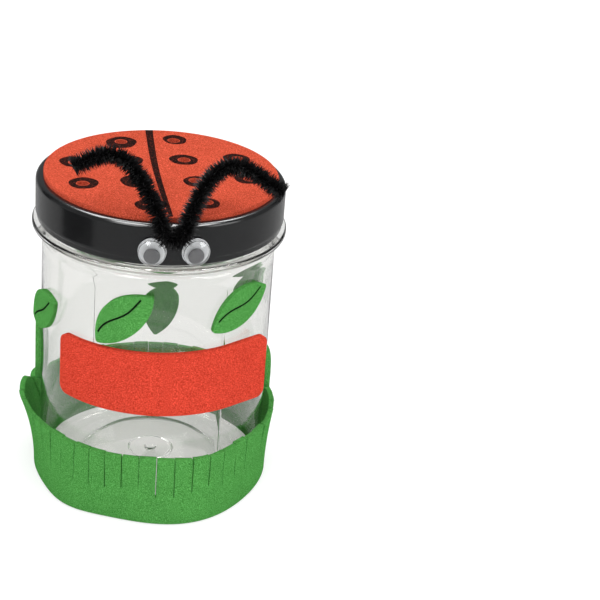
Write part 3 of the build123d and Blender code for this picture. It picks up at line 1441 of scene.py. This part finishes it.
@dataclass
class ChenilleStem:
    """The antennae: one chenille stem bent to a V and glued to the front of the lid."""

    pile: bpy.types.Material
    wire: bpy.types.Material
    route: tuple[Point3, ...] = (
        (-34.7, 10.5, 22.4), (-28.0, 12.2, 25.1), (-20.5, 12.9, 26.5), (-14.5, 10.7, 22.5), (-9.5, 6.5, 15.3),
        (-5.3, 1.5, 6.7), (-3.6, 0.0, 0.0), (2.6, 0.0, 0.0), (4.4, 1.4, 6.3), (8.6, 6.1, 14.7),
        (14.0, 9.7, 21.1), (20.2, 11.0, 23.4), (26.8, 10.0, 21.5), (32.5, 7.7, 17.7), (37.5, 6.1, 14.9))
    route_order: int = 3
    route_steps: int = 16
    foot_gap: float = 0.7
    foot_drop: float = 3.5
    core_r: float = 3.0
    fibres: int = 5200
    reach: float = 4.3
    reach_share: Point2 = (0.72, 1.05)
    reach_seed: int = 7
    jitter: Point2 = (-1.1, 1.1)
    jitter_seed: int = 3
    lean: Point2 = (-0.32, 0.32)
    lean_seed: int = 5
    fork_gain: float = 0.18
    fork_share: float = 0.486
    fork_spread: float = 0.16
    fibre_width: float = 0.42
    fibre_tip: float = 0.01
    fibre_sides: int = 3
    stem_length: float = 107.0
    lay: float = 2.4
    strand_r: float = 0.3
    strand_turns: float = 44.0
    strand_points: int = 420
    strand_sides: int = 6
    glue: ClearFinish = ClearFinish("hot_glue", (0.9, 0.88, 0.8), index=1.48, roughness=0.25, wave_depth=0.3)

    def centre_line(self, name: str) -> bpy.types.Object:
        """The stem's smooth line, as a chain of edges.

        Args:
            name: The piece's name.

        Returns:
            The line's piece.
        """
        lid_high = box_mm("lid")[1]
        foot = Vector((0, -(lid_high.x + self.foot_gap + self.core_r), lid_high.z - self.foot_drop))
        curve = bpy.data.curves.new(name, "CURVE")
        curve.dimensions = "3D"
        spline = curve.splines.new("NURBS")
        spline.points.add(len(self.route) - 1)
        for point, offset in zip(spline.points, self.route):
            point.co = (*((foot + Vector(offset)) * MM), 1)
        spline.use_endpoint_u = True
        spline.order_u = self.route_order
        curve.resolution_u = self.route_steps
        bent = bpy.data.objects.new(name, curve)
        bpy.context.scene.collection.objects.link(bent)
        depsgraph = bpy.context.evaluated_depsgraph_get()
        mesh = bpy.data.meshes.new_from_object(bent.evaluated_get(depsgraph))
        bpy.data.objects.remove(bent)
        return link_mesh(name, mesh)

    def fibre_length(self, maker: NodeMaker, reach: bpy.types.NodeSocket, share: bpy.types.NodeSocket
                     ) -> bpy.types.NodeSocket:
        """Each fibre's length: uneven, and fuller where the stem forks.

        Args:
            maker: The tree.
            reach: The pile's reach.
            share: Where the fibre stands, as a share of the stem.

        Returns:
            The length's socket.
        """
        off_fork = maker.sums("ABSOLUTE", maker.sums("SUBTRACT", share, self.fork_share))
        away = maker.sums("DIVIDE", off_fork, self.fork_spread)
        nearness = maker.sums("MAXIMUM", maker.sums("SUBTRACT", 1.0, away), 0.0)
        fuller = maker.sums("MULTIPLY_ADD", nearness, self.fork_gain, 1.0)
        uneven = maker.chance(self.reach_share, self.reach_seed)
        return maker.sums("MULTIPLY", maker.sums("MULTIPLY", reach, fuller), uneven)

    def grow_pile(self) -> bpy.types.Object:
        """The fibres, which leave the twisted wires in a close screw.

        Returns:
            The pile's piece.
        """
        maker = NodeMaker("chenille_pile")
        count = maker.size("Fibres", "NodeSocketInt", self.fibres)
        reach = maker.size("Reach", "NodeSocketFloat", self.reach * MM)
        width = maker.size("Width", "NodeSocketFloat", self.fibre_width * MM)
        twist = maker.size("Twist", "NodeSocketFloat", 1.0)
        cloth = maker.size("Pile", "NodeSocketMaterial", None)
        line = maker.add("GeometryNodeMeshToCurve")
        maker.join(maker.entry.outputs["Geometry"], line.inputs["Mesh"])
        roots = maker.add("GeometryNodeCurveToPoints", mode="COUNT")
        maker.join(line.outputs["Curve"], roots.inputs["Curve"])
        maker.join(count, roots.inputs["Count"])
        tangent, normal = roots.outputs["Tangent"], roots.outputs["Normal"]
        side = maker.vectors("CROSS_PRODUCT", tangent, normal)
        index = maker.add("GeometryNodeInputIndex").outputs[0]
        jitter = maker.chance(self.jitter, self.jitter_seed)
        half = maker.sums("MULTIPLY", maker.sums("FLOORED_MODULO", index, 2.0), math.pi)
        angle = maker.sums("ADD", maker.sums("MULTIPLY", index, twist), maker.sums("ADD", jitter, half))
        lean = maker.scale(tangent, maker.chance(self.lean, self.lean_seed))
        aim = maker.add("FunctionNodeAlignRotationToVector", axis="Z")
        maker.join(maker.vectors("ADD", maker.around(normal, side, angle), lean), aim.inputs["Vector"])
        fibre = maker.add("GeometryNodeMeshCone")
        fibre.inputs["Vertices"].default_value = self.fibre_sides
        fibre.inputs["Radius Top"].default_value = self.fibre_tip * MM
        fibre.inputs["Depth"].default_value = 1.0
        maker.join(width, fibre.inputs["Radius Bottom"])
        place = maker.add("GeometryNodeInstanceOnPoints")
        maker.join(roots.outputs["Points"], place.inputs["Points"])
        maker.join(fibre.outputs["Mesh"], place.inputs["Instance"])
        maker.join(aim.outputs["Rotation"], place.inputs["Rotation"])
        size = maker.add("ShaderNodeCombineXYZ")
        size.inputs["X"].default_value = 1.0
        size.inputs["Y"].default_value = 1.0
        maker.join(self.fibre_length(maker, reach, maker.sums("DIVIDE", index, count)), size.inputs["Z"])
        maker.join(size.outputs["Vector"], place.inputs["Scale"])
        maker.finish(place.outputs["Instances"], cloth)
        pile = self.centre_line("chenille_fibres")
        turn_per_fibre = 2 * math.pi / self.fibres * self.stem_length / self.lay
        maker.run(pile, Fibres=self.fibres, Twist=turn_per_fibre, Pile=self.pile)
        return pile

    def twist_wire(self) -> bpy.types.Object:
        """The two wires, twisted round each other along the stem.

        Returns:
            The wires' piece.
        """
        maker = NodeMaker("twisted_wire")
        strand_r = maker.size("Strand", "NodeSocketFloat", self.strand_r * MM)
        twist = maker.size("Turns", "NodeSocketFloat", self.strand_turns)
        steel = maker.size("Steel", "NodeSocketMaterial", None)
        line = maker.add("GeometryNodeMeshToCurve")
        maker.join(maker.entry.outputs["Geometry"], line.inputs["Mesh"])
        fine = maker.add("GeometryNodeResampleCurve")
        fine.inputs["Count"].default_value = self.strand_points
        maker.join(line.outputs["Curve"], fine.inputs["Curve"])
        tangent = maker.add("GeometryNodeInputTangent").outputs[0]
        normal = maker.add("GeometryNodeInputNormal").outputs[0]
        side = maker.vectors("CROSS_PRODUCT", tangent, normal)
        share = maker.add("GeometryNodeSplineParameter").outputs["Factor"]
        both = maker.add("GeometryNodeJoinGeometry")
        round_wire = maker.add("GeometryNodeCurvePrimitiveCircle")
        round_wire.inputs["Resolution"].default_value = self.strand_sides
        maker.join(strand_r, round_wire.inputs["Radius"])
        turned = maker.sums("MULTIPLY", maker.sums("MULTIPLY", share, twist), 2 * math.pi)
        for phase in (0.0, math.pi):
            around = maker.around(normal, side, maker.sums("ADD", turned, phase))
            moved = maker.add("GeometryNodeSetPosition")
            maker.join(fine.outputs["Curve"], moved.inputs["Geometry"])
            maker.join(maker.scale(around, strand_r), moved.inputs["Offset"])
            tube = maker.add("GeometryNodeCurveToMesh")
            tube.inputs["Fill Caps"].default_value = True
            maker.join(moved.outputs["Geometry"], tube.inputs["Curve"])
            maker.join(round_wire.outputs["Curve"], tube.inputs["Profile Curve"])
            maker.join(tube.outputs["Mesh"], both.inputs["Geometry"])
        maker.finish(both.outputs["Geometry"], steel)
        wire = self.centre_line("twisted_stem_wire")
        maker.run(wire, Steel=self.wire)
        return wire

    def build(self) -> None:
        """Builds, dresses and seats the stem and dresses its glue."""
        seat(self.grow_pile(), Body.LID, Slot.PILE, "antenna_pile")
        seat(self.twist_wire(), Body.LID, Slot.WIRE, "antenna_wire")
        dress_node("antenna_glue", self.glue.material(), Slot.GLUE)


@dataclass
class FoamLeaf:
    """A green foam leaf stuck on the jar, with its printed vein."""

    number: int
    green: bpy.types.Material
    ink: bpy.types.Material
    turn: float
    height: float
    tilt: float
    lift: float = 0.0
    bow: float = 0.0
    length: float = 29.0
    width: float = 14.4
    wall_r: float = 43.6
    thickness: float = 2.0
    edge: float = 0.35
    tip: float = 0.35
    stations: int = 26
    rows: int = 8
    vein_span: Point2 = (-0.38, 0.37)
    vein_width: float = 0.72
    vein_offset: float = 1.3
    vein_wave: float = 1.0
    vein_wave_start: float = 0.05
    vein_wave_length: float = 0.75
    vein_lean: float = 0.0
    vein_depth: float = 0.3
    vein_stations: int = 24
    vein_rows: int = 2
    ink_height: float = 0.05

    def middle(self, station: float) -> float:
        """The leaf's middle line, which a hand-cut leaf bows to one side between its points."""
        return self.bow * (1 - (2 * station / self.length) ** 2)

    def outline(self, station: float) -> Point2:
        """The leaf's middle and half its width: two arcs that meet in points.

        Args:
            station: Distance along the leaf from its middle.

        Returns:
            The middle and half the width, in millimetres.
        """
        half_l, half_w = self.length / 2, self.width / 2
        radius = (half_l**2 + half_w**2) / (2 * half_w)
        half = math.sqrt(max(0.0, radius**2 - station**2)) - (radius - half_w)
        return self.middle(station), half

    def vein_outline(self, station: float) -> Point2:
        """The vein's middle, a slow S beside the leaf's middle line, and half its width.

        Args:
            station: Distance along the leaf from its middle.

        Returns:
            The middle and half the width, in millimetres.
        """
        share = station / self.length + 0.5
        wave = self.vein_wave * math.sin(2 * math.pi * (share - self.vein_wave_start) / self.vein_wave_length)
        middle = self.middle(station) + self.vein_offset + self.vein_lean * station + wave
        return middle, self.vein_width / 2

    def place(self, station: float, across: float, height: float) -> Vector:
        """Bends a point of the flat leaf round the jar.

        Args:
            station: Distance along the leaf from its middle.
            across: Distance across it.
            height: Height over the leaf's back.

        Returns:
            The point on the object, in millimetres.
        """
        c, s = math.cos(math.radians(self.tilt)), math.sin(math.radians(self.tilt))
        sideways, upward = station * c - across * s, station * s + across * c
        raised = self.lift * (sideways / (self.length / 2)) ** 2
        turn = self.turn + math.degrees(sideways / (self.wall_r + self.thickness / 2))
        return wall_point(turn, self.height + upward, self.wall_r + height + raised)

    def build(self) -> None:
        """Builds, dresses and seats the leaf and its vein."""
        reach = self.length / 2 - self.tip
        stations = [reach * math.sin(math.radians(angle)) for angle in spread(-90, 90, self.stations)]
        leaf = wrapped_sheet(f"foam_leaf_{self.number}", stations, self.rows, self.outline, self.place,
                             0.0, self.thickness)
        round_edges(leaf, self.edge)
        wear(leaf, self.green)
        seat(leaf, Body.JAR, Slot.GREEN, f"leaf_{self.number}")
        start, stop = (share * self.length for share in self.vein_span)
        vein = wrapped_sheet(f"leaf_vein_{self.number}", spread(start, stop, self.vein_stations),
                             self.vein_rows, self.vein_outline, self.place,
                             self.thickness - self.vein_depth, self.thickness + self.ink_height)
        wear(vein, self.ink)
        seat(vein, Body.JAR, Slot.GREEN)


@dataclass
class FoamLabel:
    """The bare red foam strip round the front of the jar, whose right end springs straight off it."""

    red: bpy.types.Material
    turn: float = 3.2
    arc_turn: float = 117.0
    free_turn: float = 32.0
    free_length: float = 16.8
    askew: float = 0.02
    askew_middle: float = 0.3
    corner: float = 3.5
    corner_steps: int = 8
    wall_r: float = 43.6
    thickness: float = 2.0
    edge: float = 0.35
    stations: int = 60
    rows: int = 10

    @cached_property
    def heights(self) -> Point2:
        """The strip's lowest and highest edge."""
        low, high = box_mm("label")
        return low.z, high.z

    @property
    def middle_r(self) -> float:
        """The radius of the foam's middle layer."""
        return self.wall_r + self.thickness / 2

    @property
    def left(self) -> float:
        """The left end's station."""
        return -math.radians(self.arc_turn) * self.middle_r / 2

    @property
    def leaves_at(self) -> float:
        """The station where the strip leaves the jar."""
        return math.radians(self.free_turn - self.turn) * self.middle_r

    @property
    def right(self) -> float:
        """The right end's station."""
        return self.leaves_at + self.free_length

    def outline(self, station: float) -> Point2:
        """The strip's middle and half its width, with round corners and its lower edge cut askew.

        Args:
            station: Distance along the strip.

        Returns:
            The middle and half the width, in millimetres.
        """
        low, high = self.heights
        into = min(self.corner, station - self.left, self.right - station)
        rounding = self.corner - math.sqrt(self.corner**2 - (self.corner - into) ** 2)
        cut = (self.askew_middle - self.askew * station) / 2
        return cut, (high - low) / 2 - cut - rounding

    def place(self, station: float, across: float, height: float) -> Vector:
        """Where a point of the flat strip lies, on the jar or past it on the free end.

        Args:
            station: Distance along the strip.
            across: Height over the strip's middle.
            height: Height over the foam's back.

        Returns:
            The point on the object, in millimetres.
        """
        low, high = self.heights
        held = min(station, self.leaves_at)
        turn = self.turn + math.degrees(held / self.middle_r)
        ahead = Vector((math.cos(math.radians(turn)), math.sin(math.radians(turn)), 0))
        return wall_point(turn, (high + low) / 2 + across, self.wall_r + height) + ahead * (station - held)

    def build(self) -> None:
        """Builds, dresses and seats the label."""
        rounds = [self.corner * (1 - math.cos(math.radians(a))) for a in spread(0, 90, self.corner_steps)]
        straight = spread(self.left + self.corner, self.right - self.corner, self.stations)
        stations = [self.left + into for into in rounds] + straight[1:-1]
        stations += [self.right - into for into in reversed(rounds)]
        label = wrapped_sheet("foam_label", stations, self.rows, self.outline, self.place,
                              0.0, self.thickness)
        round_edges(label, self.edge)
        wear(label, self.red)
        seat(label, Body.JAR, Slot.RED, "label")


@dataclass(frozen=True)
class Bulge:
    """A stretch where a loose strip stands off the wall."""

    turn: float
    arc_turn: float
    height: float

    def at(self, turn: float) -> float:
        """How far the strip stands off at a turn."""
        return self.height * math.exp(-(((turn - self.turn) / self.arc_turn) ** 2))


@dataclass(frozen=True)
class BladeColumn:
    """An upright of the grass strip's mesh: its turn, bend, slit's depth and rise at the tip."""

    turn: float
    bend: float
    slit: float
    rise: float


@dataclass
class GrassBand:
    """The slit green strip round the foot, with its blades bent outwards."""

    green: bpy.types.Material
    wall_r: float = 43.85
    foam: float = 2.0
    edge: float = 0.25
    foot_bulges: tuple[Bulge, ...] = (Bulge(-46, 17, 2.5), Bulge(13, 27, 3.9))
    tip_bulges: tuple[Bulge, ...] = (Bulge(-112, 32, 6.0), Bulge(-15, 90, 1.4), Bulge(17, 12, 2.6),
                                     Bulge(85, 26, 1.1), Bulge(252, 30, 4.8))
    tip_lean: float = 0.8
    seed: int = 46
    blades: int = 46
    slit_width: Point2 = (0.12, 0.32)
    slit_depth: Point2 = (13.0, 16.5)
    blade_bend: Point2 = (-0.35, 0.45)
    blade_rise: Point2 = (-0.5, 0.0)
    seam_turn: float = -112.8
    end_rounding: float = 1.5
    end_cells: int = 2
    blade_cells: int = 4
    low_rows: int = 5
    high_rows: int = 7

    @cached_property
    def heights(self) -> Point2:
        """The strip's foot and its height."""
        low, high = box_mm("grass_band")
        return low.z, high.z - low.z

    def reach(self, turn: float, share: float) -> float:
        """How far the strip's back is from the axis: loose at the foot, bent outwards at the tips.

        Args:
            turn: The turn about the axis.
            share: Height as a share of the strip, 0 at the foot and 1 at the tips.

        Returns:
            The distance, in millimetres.
        """
        foot = sum(bulge.at(turn) for bulge in self.foot_bulges)
        tip = self.tip_lean + sum(bulge.at(turn) for bulge in self.tip_bulges)
        return self.wall_r + foot + (tip - foot) * share * share

    def columns(self) -> list[BladeColumn]:
        """Draws the blades by lot and parts each into uprights.

        Returns:
            The uprights, from one end of the strip to the other.
        """
        draw = random.Random(self.seed)
        widths, bends, depths, rises = ([draw.uniform(*bounds) for _ in range(self.blades)] for bounds in
                                        (self.slit_width, self.blade_bend, self.slit_depth, self.blade_rise))
        pitch, cells = 360.0 / self.blades, self.blade_cells
        columns = []
        for blade in range(self.blades):
            after = (blade + 1) % self.blades
            start = blade * pitch + math.degrees(widths[blade] / self.wall_r) / 2
            stop = (blade + 1) * pitch - math.degrees(widths[after] / self.wall_r) / 2
            for cell, turn in enumerate(spread(start, stop, cells)):
                near = blade if cell < cells / 2 else after
                from_end = min(blade * cells + cell, (self.blades - blade) * cells - cell)
                rounding = self.end_rounding * max(0.0, 1 - from_end / self.end_cells) ** 2
                columns.append(BladeColumn(self.seam_turn + turn, bends[blade], depths[near],
                                           rises[blade] - rounding))
        return columns

    def filled(self, column: int, row: int) -> bool:
        """Whether a cell of the mesh is foam, and not a slit, the seam or past an edge.

        Args:
            column: The upright on the cell's left.
            row: The cell's row from the foot.

        Returns:
            True for foam.
        """
        per_blade = self.blade_cells + 1
        slit = column % per_blade == self.blade_cells and row >= self.low_rows
        seam = column == self.blades * per_blade - 1
        return 0 <= row < self.low_rows + self.high_rows and not slit and not seam

    def corner(self, column: BladeColumn, row: int, outside: bool) -> Vector:
        """Where a corner of the mesh lies.

        Args:
            column: The upright that it is on.
            row: Its row from the foot.
            outside: Whether it is on the strip's face and not on its back.

        Returns:
            The point, in millimetres.
        """
        foot, tall = self.heights
        slit_foot = tall - column.slit
        up = max(0, row - self.low_rows) / self.high_rows
        z = slit_foot * min(row, self.low_rows) / self.low_rows + (column.slit + column.rise) * up
        r = self.reach(column.turn, z / tall) + column.bend * up * up + (self.foam if outside else 0.0)
        return wall_point(column.turn, foot + z, r)

    def build(self) -> None:
        """Builds, dresses and seats the band."""
        columns = self.columns()
        numbers: dict[tuple[int, int, bool], int] = {}
        faces = []
        for i in range(len(columns)):
            k = (i + 1) % len(columns)
            for j in range(self.low_rows + self.high_rows):
                if not self.filled(i, j):
                    continue
                around = ((i, j), (k, j), (k, j + 1), (i, j + 1))
                quads = [[(*spot, outside) for spot in around] for outside in (False, True)]
                neighbours = ((i, j - 1), (k, j), (i, j + 1), ((i - 1) % len(columns), j))
                for side, neighbour in enumerate(neighbours):
                    if not self.filled(*neighbour):
                        one, two = around[side], around[(side + 1) % len(around)]
                        quads.append([(*one, False), (*two, False), (*two, True), (*one, True)])
                faces += [[numbers.setdefault(key, len(numbers)) for key in quad] for quad in quads]
        points = [self.corner(columns[column], row, outside) for column, row, outside in numbers]
        band = mesh_piece("grass_strip", points, faces)
        round_edges(band, self.edge)
        wear(band, self.green)
        seat(band, Body.JAR, Slot.GREEN, "grass_band")


# The stage


def rectangle(name: str, width: float, height: float) -> bpy.types.Mesh:
    """A flat rectangle about the origin.

    Args:
        name: The mesh's name.
        width: Its width, in metres.
        height: Its height.

    Returns:
        The mesh.
    """
    mesh = bpy.data.meshes.new(name)
    w, h = width / 2, height / 2
    mesh.from_pydata([(-w, -h, 0), (w, -h, 0), (w, h, 0), (-w, h, 0)], [], [(0, 1, 2, 3)])
    return mesh


def facing(place: Point3, aim: Point3, axis: str) -> Matrix:
    """The placing at a point in metres that turns an axis towards another point."""
    turn = (Vector(aim) - Vector(place)).to_track_quat(axis, "Y")
    return Matrix.Translation(Vector(place)) @ turn.to_matrix().to_4x4()


def swing(one: Vector, two: Vector, angle: float) -> tuple[Vector, Vector]:
    """Two axes turned in their plane, the first towards the second, by an angle in radians."""
    c, s = math.cos(angle), math.sin(angle)
    return one * c + two * s, two * c - one * s


@dataclass
class Studio:
    """The pale floor, the soft light and the camera at the photograph's angle."""

    azimuth: float = -6.5
    elevation: float = 21.56
    roll: float = 2.89
    distance: float = 600.0
    aim_height: float = 122.7
    aim_pixel: Point2 = (162.6, 171.0)
    focal_pixels: float = 1619.0
    clip: Point2 = (0.01, 100.0)
    ambient: float = 0.36
    mirrored: float = 0.22
    middle: Point3 = (0.0, 0.0, 0.07)
    floor_side: float = 8.0
    floor_colour: Colour = (0.86, 0.86, 0.86)
    floor_roughness: float = 0.9
    flag_colour: Colour = (0.01, 0.01, 0.01)

    def camera(self) -> None:
        """Sets the camera that saw the photograph."""
        azimuth, elevation, roll = (math.radians(v) for v in (self.azimuth, self.elevation, self.roll))
        right = Vector((math.cos(azimuth), math.sin(azimuth), 0))
        ahead = Vector((-math.sin(azimuth) * math.cos(elevation), math.cos(azimuth) * math.cos(elevation),
                        -math.sin(elevation)))
        up = right.cross(ahead)
        place = Vector((0, 0, self.aim_height)) - ahead * self.distance
        off_x, off_y = (pixel - PHOTO_PIXELS / 2 for pixel in self.aim_pixel)
        yaw = math.atan2(off_x, self.focal_pixels)
        pitch = math.atan2(off_y * math.cos(yaw), self.focal_pixels)
        right, up = swing(right, up, roll)
        right, ahead = swing(right, ahead, yaw)
        up, ahead = swing(up, ahead, -pitch)
        lens = bpy.data.cameras.new("photo_camera")
        lens.sensor_width = SENSOR_MM
        lens.lens = SENSOR_MM * self.focal_pixels / PHOTO_PIXELS
        lens.clip_start, lens.clip_end = self.clip
        camera = bpy.data.objects.new("photo_camera", lens)
        axes = Matrix((right, up, -ahead)).transposed().to_4x4()
        camera.matrix_world = Matrix.Translation(place * MM) @ axes
        bpy.context.scene.collection.objects.link(camera)
        bpy.context.scene.camera = camera

    def lamp(self, name: str, place: Point3, aim: Point3, size: float, watts: float) -> bpy.types.Object:
        """Hangs a square soft light.

        Args:
            name: The lamp's name.
            place: Where it hangs, in metres.
            aim: The point that it faces.
            size: Its side, in metres.
            watts: Its power.

        Returns:
            The lamp.
        """
        light = bpy.data.lights.new(name, "AREA")
        light.shape = "SQUARE"
        light.size = size
        light.energy = watts
        lamp = bpy.data.objects.new(name, light)
        lamp.matrix_world = facing(place, aim, "-Z")
        bpy.context.scene.collection.objects.link(lamp)
        return lamp

    def glow(self, shader: Shader, under: bpy.types.NodeSocket, seen: bpy.types.NodeSocket, share: float,
             strength: float) -> bpy.types.NodeSocket:
        """Lays a glow over a surface for some kinds of ray.

        Args:
            shader: The material.
            under: The surface's shader.
            seen: One for the rays that see the glow.
            share: How much of the surface the glow covers.
            strength: The glow's strength.

        Returns:
            The mixed shader.
        """
        light = shader.add("ShaderNodeEmission")
        light.inputs["Strength"].default_value = strength
        part = shader.add("ShaderNodeMath", operation="MULTIPLY")
        part.inputs[1].default_value = share
        shader.join(seen, part.inputs[0])
        mix = shader.add("ShaderNodeMixShader")
        shader.join(part.outputs[0], mix.inputs["Fac"])
        shader.join(under, mix.inputs[1])
        shader.join(light.outputs["Emission"], mix.inputs[2])
        return mix.outputs["Shader"]

    def mirrored_rays(self, nodes: NodeTree, rays: bpy.types.Node) -> bpy.types.NodeSocket:
        """One for the rays that a surface mirrors, and zero for those that clear plastic lets through.

        Args:
            nodes: The tree.
            rays: Its light path node.

        Returns:
            The value's socket.
        """
        node = nodes.add("ShaderNodeMath", operation="SUBTRACT", use_clamp=True)
        nodes.join(rays.outputs["Is Glossy Ray"], node.inputs[0])
        nodes.join(rays.outputs["Is Transmission Ray"], node.inputs[1])
        return node.outputs[0]

    def floor(self) -> None:
        """Lays the floor, white to the camera with a soft shadow left in it."""
        floor = link_mesh("floor", rectangle("floor", self.floor_side, self.floor_side))
        shader = Shader("pale_floor")
        shader.set(Base_Color=(*self.floor_colour, 1.0), Roughness=self.floor_roughness)
        rays = shader.add("ShaderNodeLightPath")
        layer = self.glow(shader, shader.surface.outputs["BSDF"], rays.outputs["Is Camera Ray"],
                          share=0.5, strength=1.25)
        layer = self.glow(shader, layer, rays.outputs["Is Transmission Ray"], share=0.5, strength=0.95)
        layer = self.glow(shader, layer, self.mirrored_rays(shader, rays), share=1.0, strength=0.5)
        shader.join(layer, shader.output.inputs["Surface"])
        wear(floor, shader.material)
        floor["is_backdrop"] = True

    def flag(self, name: str, place: Point3, aim: Point3, width: float, height: float, through: bool) -> None:
        """Stands a dark card that only reflections and clear plastic see.

        Args:
            name: The card's name.
            place: Its middle, in metres.
            aim: The point that it faces.
            width: Its width.
            height: Its height.
            through: Whether it shows through clear plastic too.
        """
        mesh = rectangle(name, width, height)
        mesh.transform(facing(place, aim, "Z"))
        card = link_mesh(name, mesh)
        card.visible_camera = False
        card.visible_diffuse = False
        card.visible_shadow = False
        card.visible_transmission = through
        shader = Shader(name + "_black")
        shader.set(Base_Color=(*self.flag_colour, 1.0), Roughness=1.0, Specular_IOR_Level=0.0)
        wear(card, shader.material)
        card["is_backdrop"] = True

    def world(self) -> None:
        """Surrounds the object with pale soft light, white straight behind it."""
        world = bpy.data.worlds.new("soft_surround")
        world.use_nodes = True
        bpy.context.scene.world = world
        nodes = NodeTree(world.node_tree)
        back = world.node_tree.nodes["Background"]
        back.inputs["Color"].default_value = (*WHITE, 1.0)
        rays = nodes.add("ShaderNodeLightPath")
        seen = nodes.add("ShaderNodeMath", operation="MAXIMUM")
        nodes.join(rays.outputs["Is Camera Ray"], seen.inputs[0])
        nodes.join(rays.outputs["Is Transmission Ray"], seen.inputs[1])
        level = nodes.add("ShaderNodeMapRange")
        level.inputs["To Min"].default_value = self.ambient
        level.inputs["To Max"].default_value = 1.0
        nodes.join(seen.outputs[0], level.inputs["Value"])
        mirrored = nodes.add("ShaderNodeMix")
        mirrored.inputs["B"].default_value = self.mirrored
        nodes.join(self.mirrored_rays(nodes, rays), mirrored.inputs["Factor"])
        nodes.join(level.outputs["Result"], mirrored.inputs["A"])
        nodes.join(mirrored.outputs["Result"], back.inputs["Strength"])

    def build(self) -> None:
        """Sets up the floor, the light and the camera."""
        bpy.context.scene.view_settings.view_transform = "Standard"
        self.world()
        self.floor()
        self.lamp("key_light", place=(-0.6, -0.8, 0.8), aim=self.middle, size=0.5, watts=5.0)
        self.lamp("fill_light", place=(0.8, -0.6, 0.5), aim=self.middle, size=0.5, watts=3.0)
        self.lamp("top_light", place=(0.15, 0.15, 2.4), aim=(0.15, 0.15, 0.0), size=3.0, watts=62.0)
        gleam = self.lamp("gleam_light", place=(0.0, 0.0, 1.1), aim=self.middle, size=1.2, watts=70.0)
        gleam.visible_diffuse = False
        self.flag("left_flag", place=(-0.45, 0.3, 0.1), aim=self.middle, width=0.16, height=0.7, through=True)
        self.flag("right_flag", place=(0.45, 0.3, 0.1), aim=self.middle, width=0.16, height=0.7, through=True)
        self.flag("lid_flag", place=(-0.182, -0.04, 0.06), aim=(0.0, -0.03, 0.06), width=0.11, height=0.06,
                  through=False)
        self.camera()


def corners(box: tuple[Vector, Vector]) -> list[list[float]]:
    """A box's two corners as plain numbers."""
    return [list(corner) for corner in box]


def build_eyes() -> None:
    """Builds both eyes and dresses their pads."""
    # The eye backs are white plastic darkened to mid grey here, as painted shade standing in for the shading
    # on them under the domes.
    white = MouldedFinish("eye_back_white_painted_shade", (0.48, 0.49, 0.5), smooth=0.3, rough=0.45).material()
    clear = ClearFinish("eye_dome_clear", (0.98, 0.985, 0.99), index=1.49, roughness=0.02,
                        wave_depth=0.05).material()
    black = MouldedFinish("moulded_pupil_black", (0.05, 0.05, 0.053), smooth=0.3, rough=0.45).material()
    for side in Side:
        WiggleEye(side, white, clear, black).build()
        pad = FoamFinish(f"eye_{side.value}_pad_foam", (0.7, 0.7, 0.68), contrast=0.1)
        dress_node(f"eye_{side.value}_pad", pad.material(), Slot.PAD)


def build_leaves(green: bpy.types.Material) -> None:
    """Builds the leaves round the jar.

    Args:
        green: The leaves' foam.
    """
    ink = InkFinish("vein_print", (0.006, 0.007, 0.006), (0.012, 0.02, 0.01)).material()
    leaves = [
        FoamLeaf(1, green, ink, turn=-75.0, height=72.5, tilt=33.0, lift=1.3, vein_offset=-0.3, vein_wave=0.5,
                 vein_lean=0.08),
        FoamLeaf(2, green, ink, turn=-20.8, height=82.4, tilt=45.0, bow=1.4),
        FoamLeaf(3, green, ink, turn=37.6, height=83.3, tilt=23.0, bow=2.0),
        FoamLeaf(4, green, ink, turn=171.0, height=47.0, tilt=98.0),
        FoamLeaf(5, green, ink, turn=115.0, height=68.5, tilt=130.0),
        FoamLeaf(6, green, ink, turn=-98.0, height=47.0, tilt=85.0),
        FoamLeaf(7, green, ink, turn=92.0, height=40.6, tilt=5.0),
    ]
    for leaf in leaves:
        leaf.build()


def main() -> None:
    """Builds and dresses every piece."""
    logging.basicConfig(level=logging.INFO, format="%(name)s: %(message)s")
    cad_box = corners(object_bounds())
    red = FoamFinish("red_craft_foam", (0.63, 0.052, 0.026)).material()
    # The cover is the label's red foam, with its colour shifted paler and more orange as painted sheen, and
    # its red lowered as painted shade against the top light on the lid's face.
    cover_red_painted_light = FoamFinish("red_cover_foam_painted_sheen_and_shade", (0.54, 0.073, 0.0345)).material()
    green = FoamFinish("green_craft_foam", (0.073, 0.3, 0.059)).material()
    ink = InkFinish("black_print", (0.016, 0.009, 0.008), (0.1, 0.02, 0.014)).material()
    pile = PileFinish("chenille_black", (0.003, 0.003, 0.0032)).material()
    steel = MetalFinish("stem_steel", (0.5, 0.5, 0.52)).material()
    holes = AirHoles()
    ClearJar().build()
    ScrewLid(holes).build()
    WingCover(holes, cover_red_painted_light, ink).build()
    build_eyes()
    ChenilleStem(pile, steel).build()
    build_leaves(green)
    FoamLabel(red).build()
    GrassBand(green).build()
    Studio().build()
    {"cad": cad_box, "visual": corners(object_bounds())}


if __name__ == "__main__":
    main()
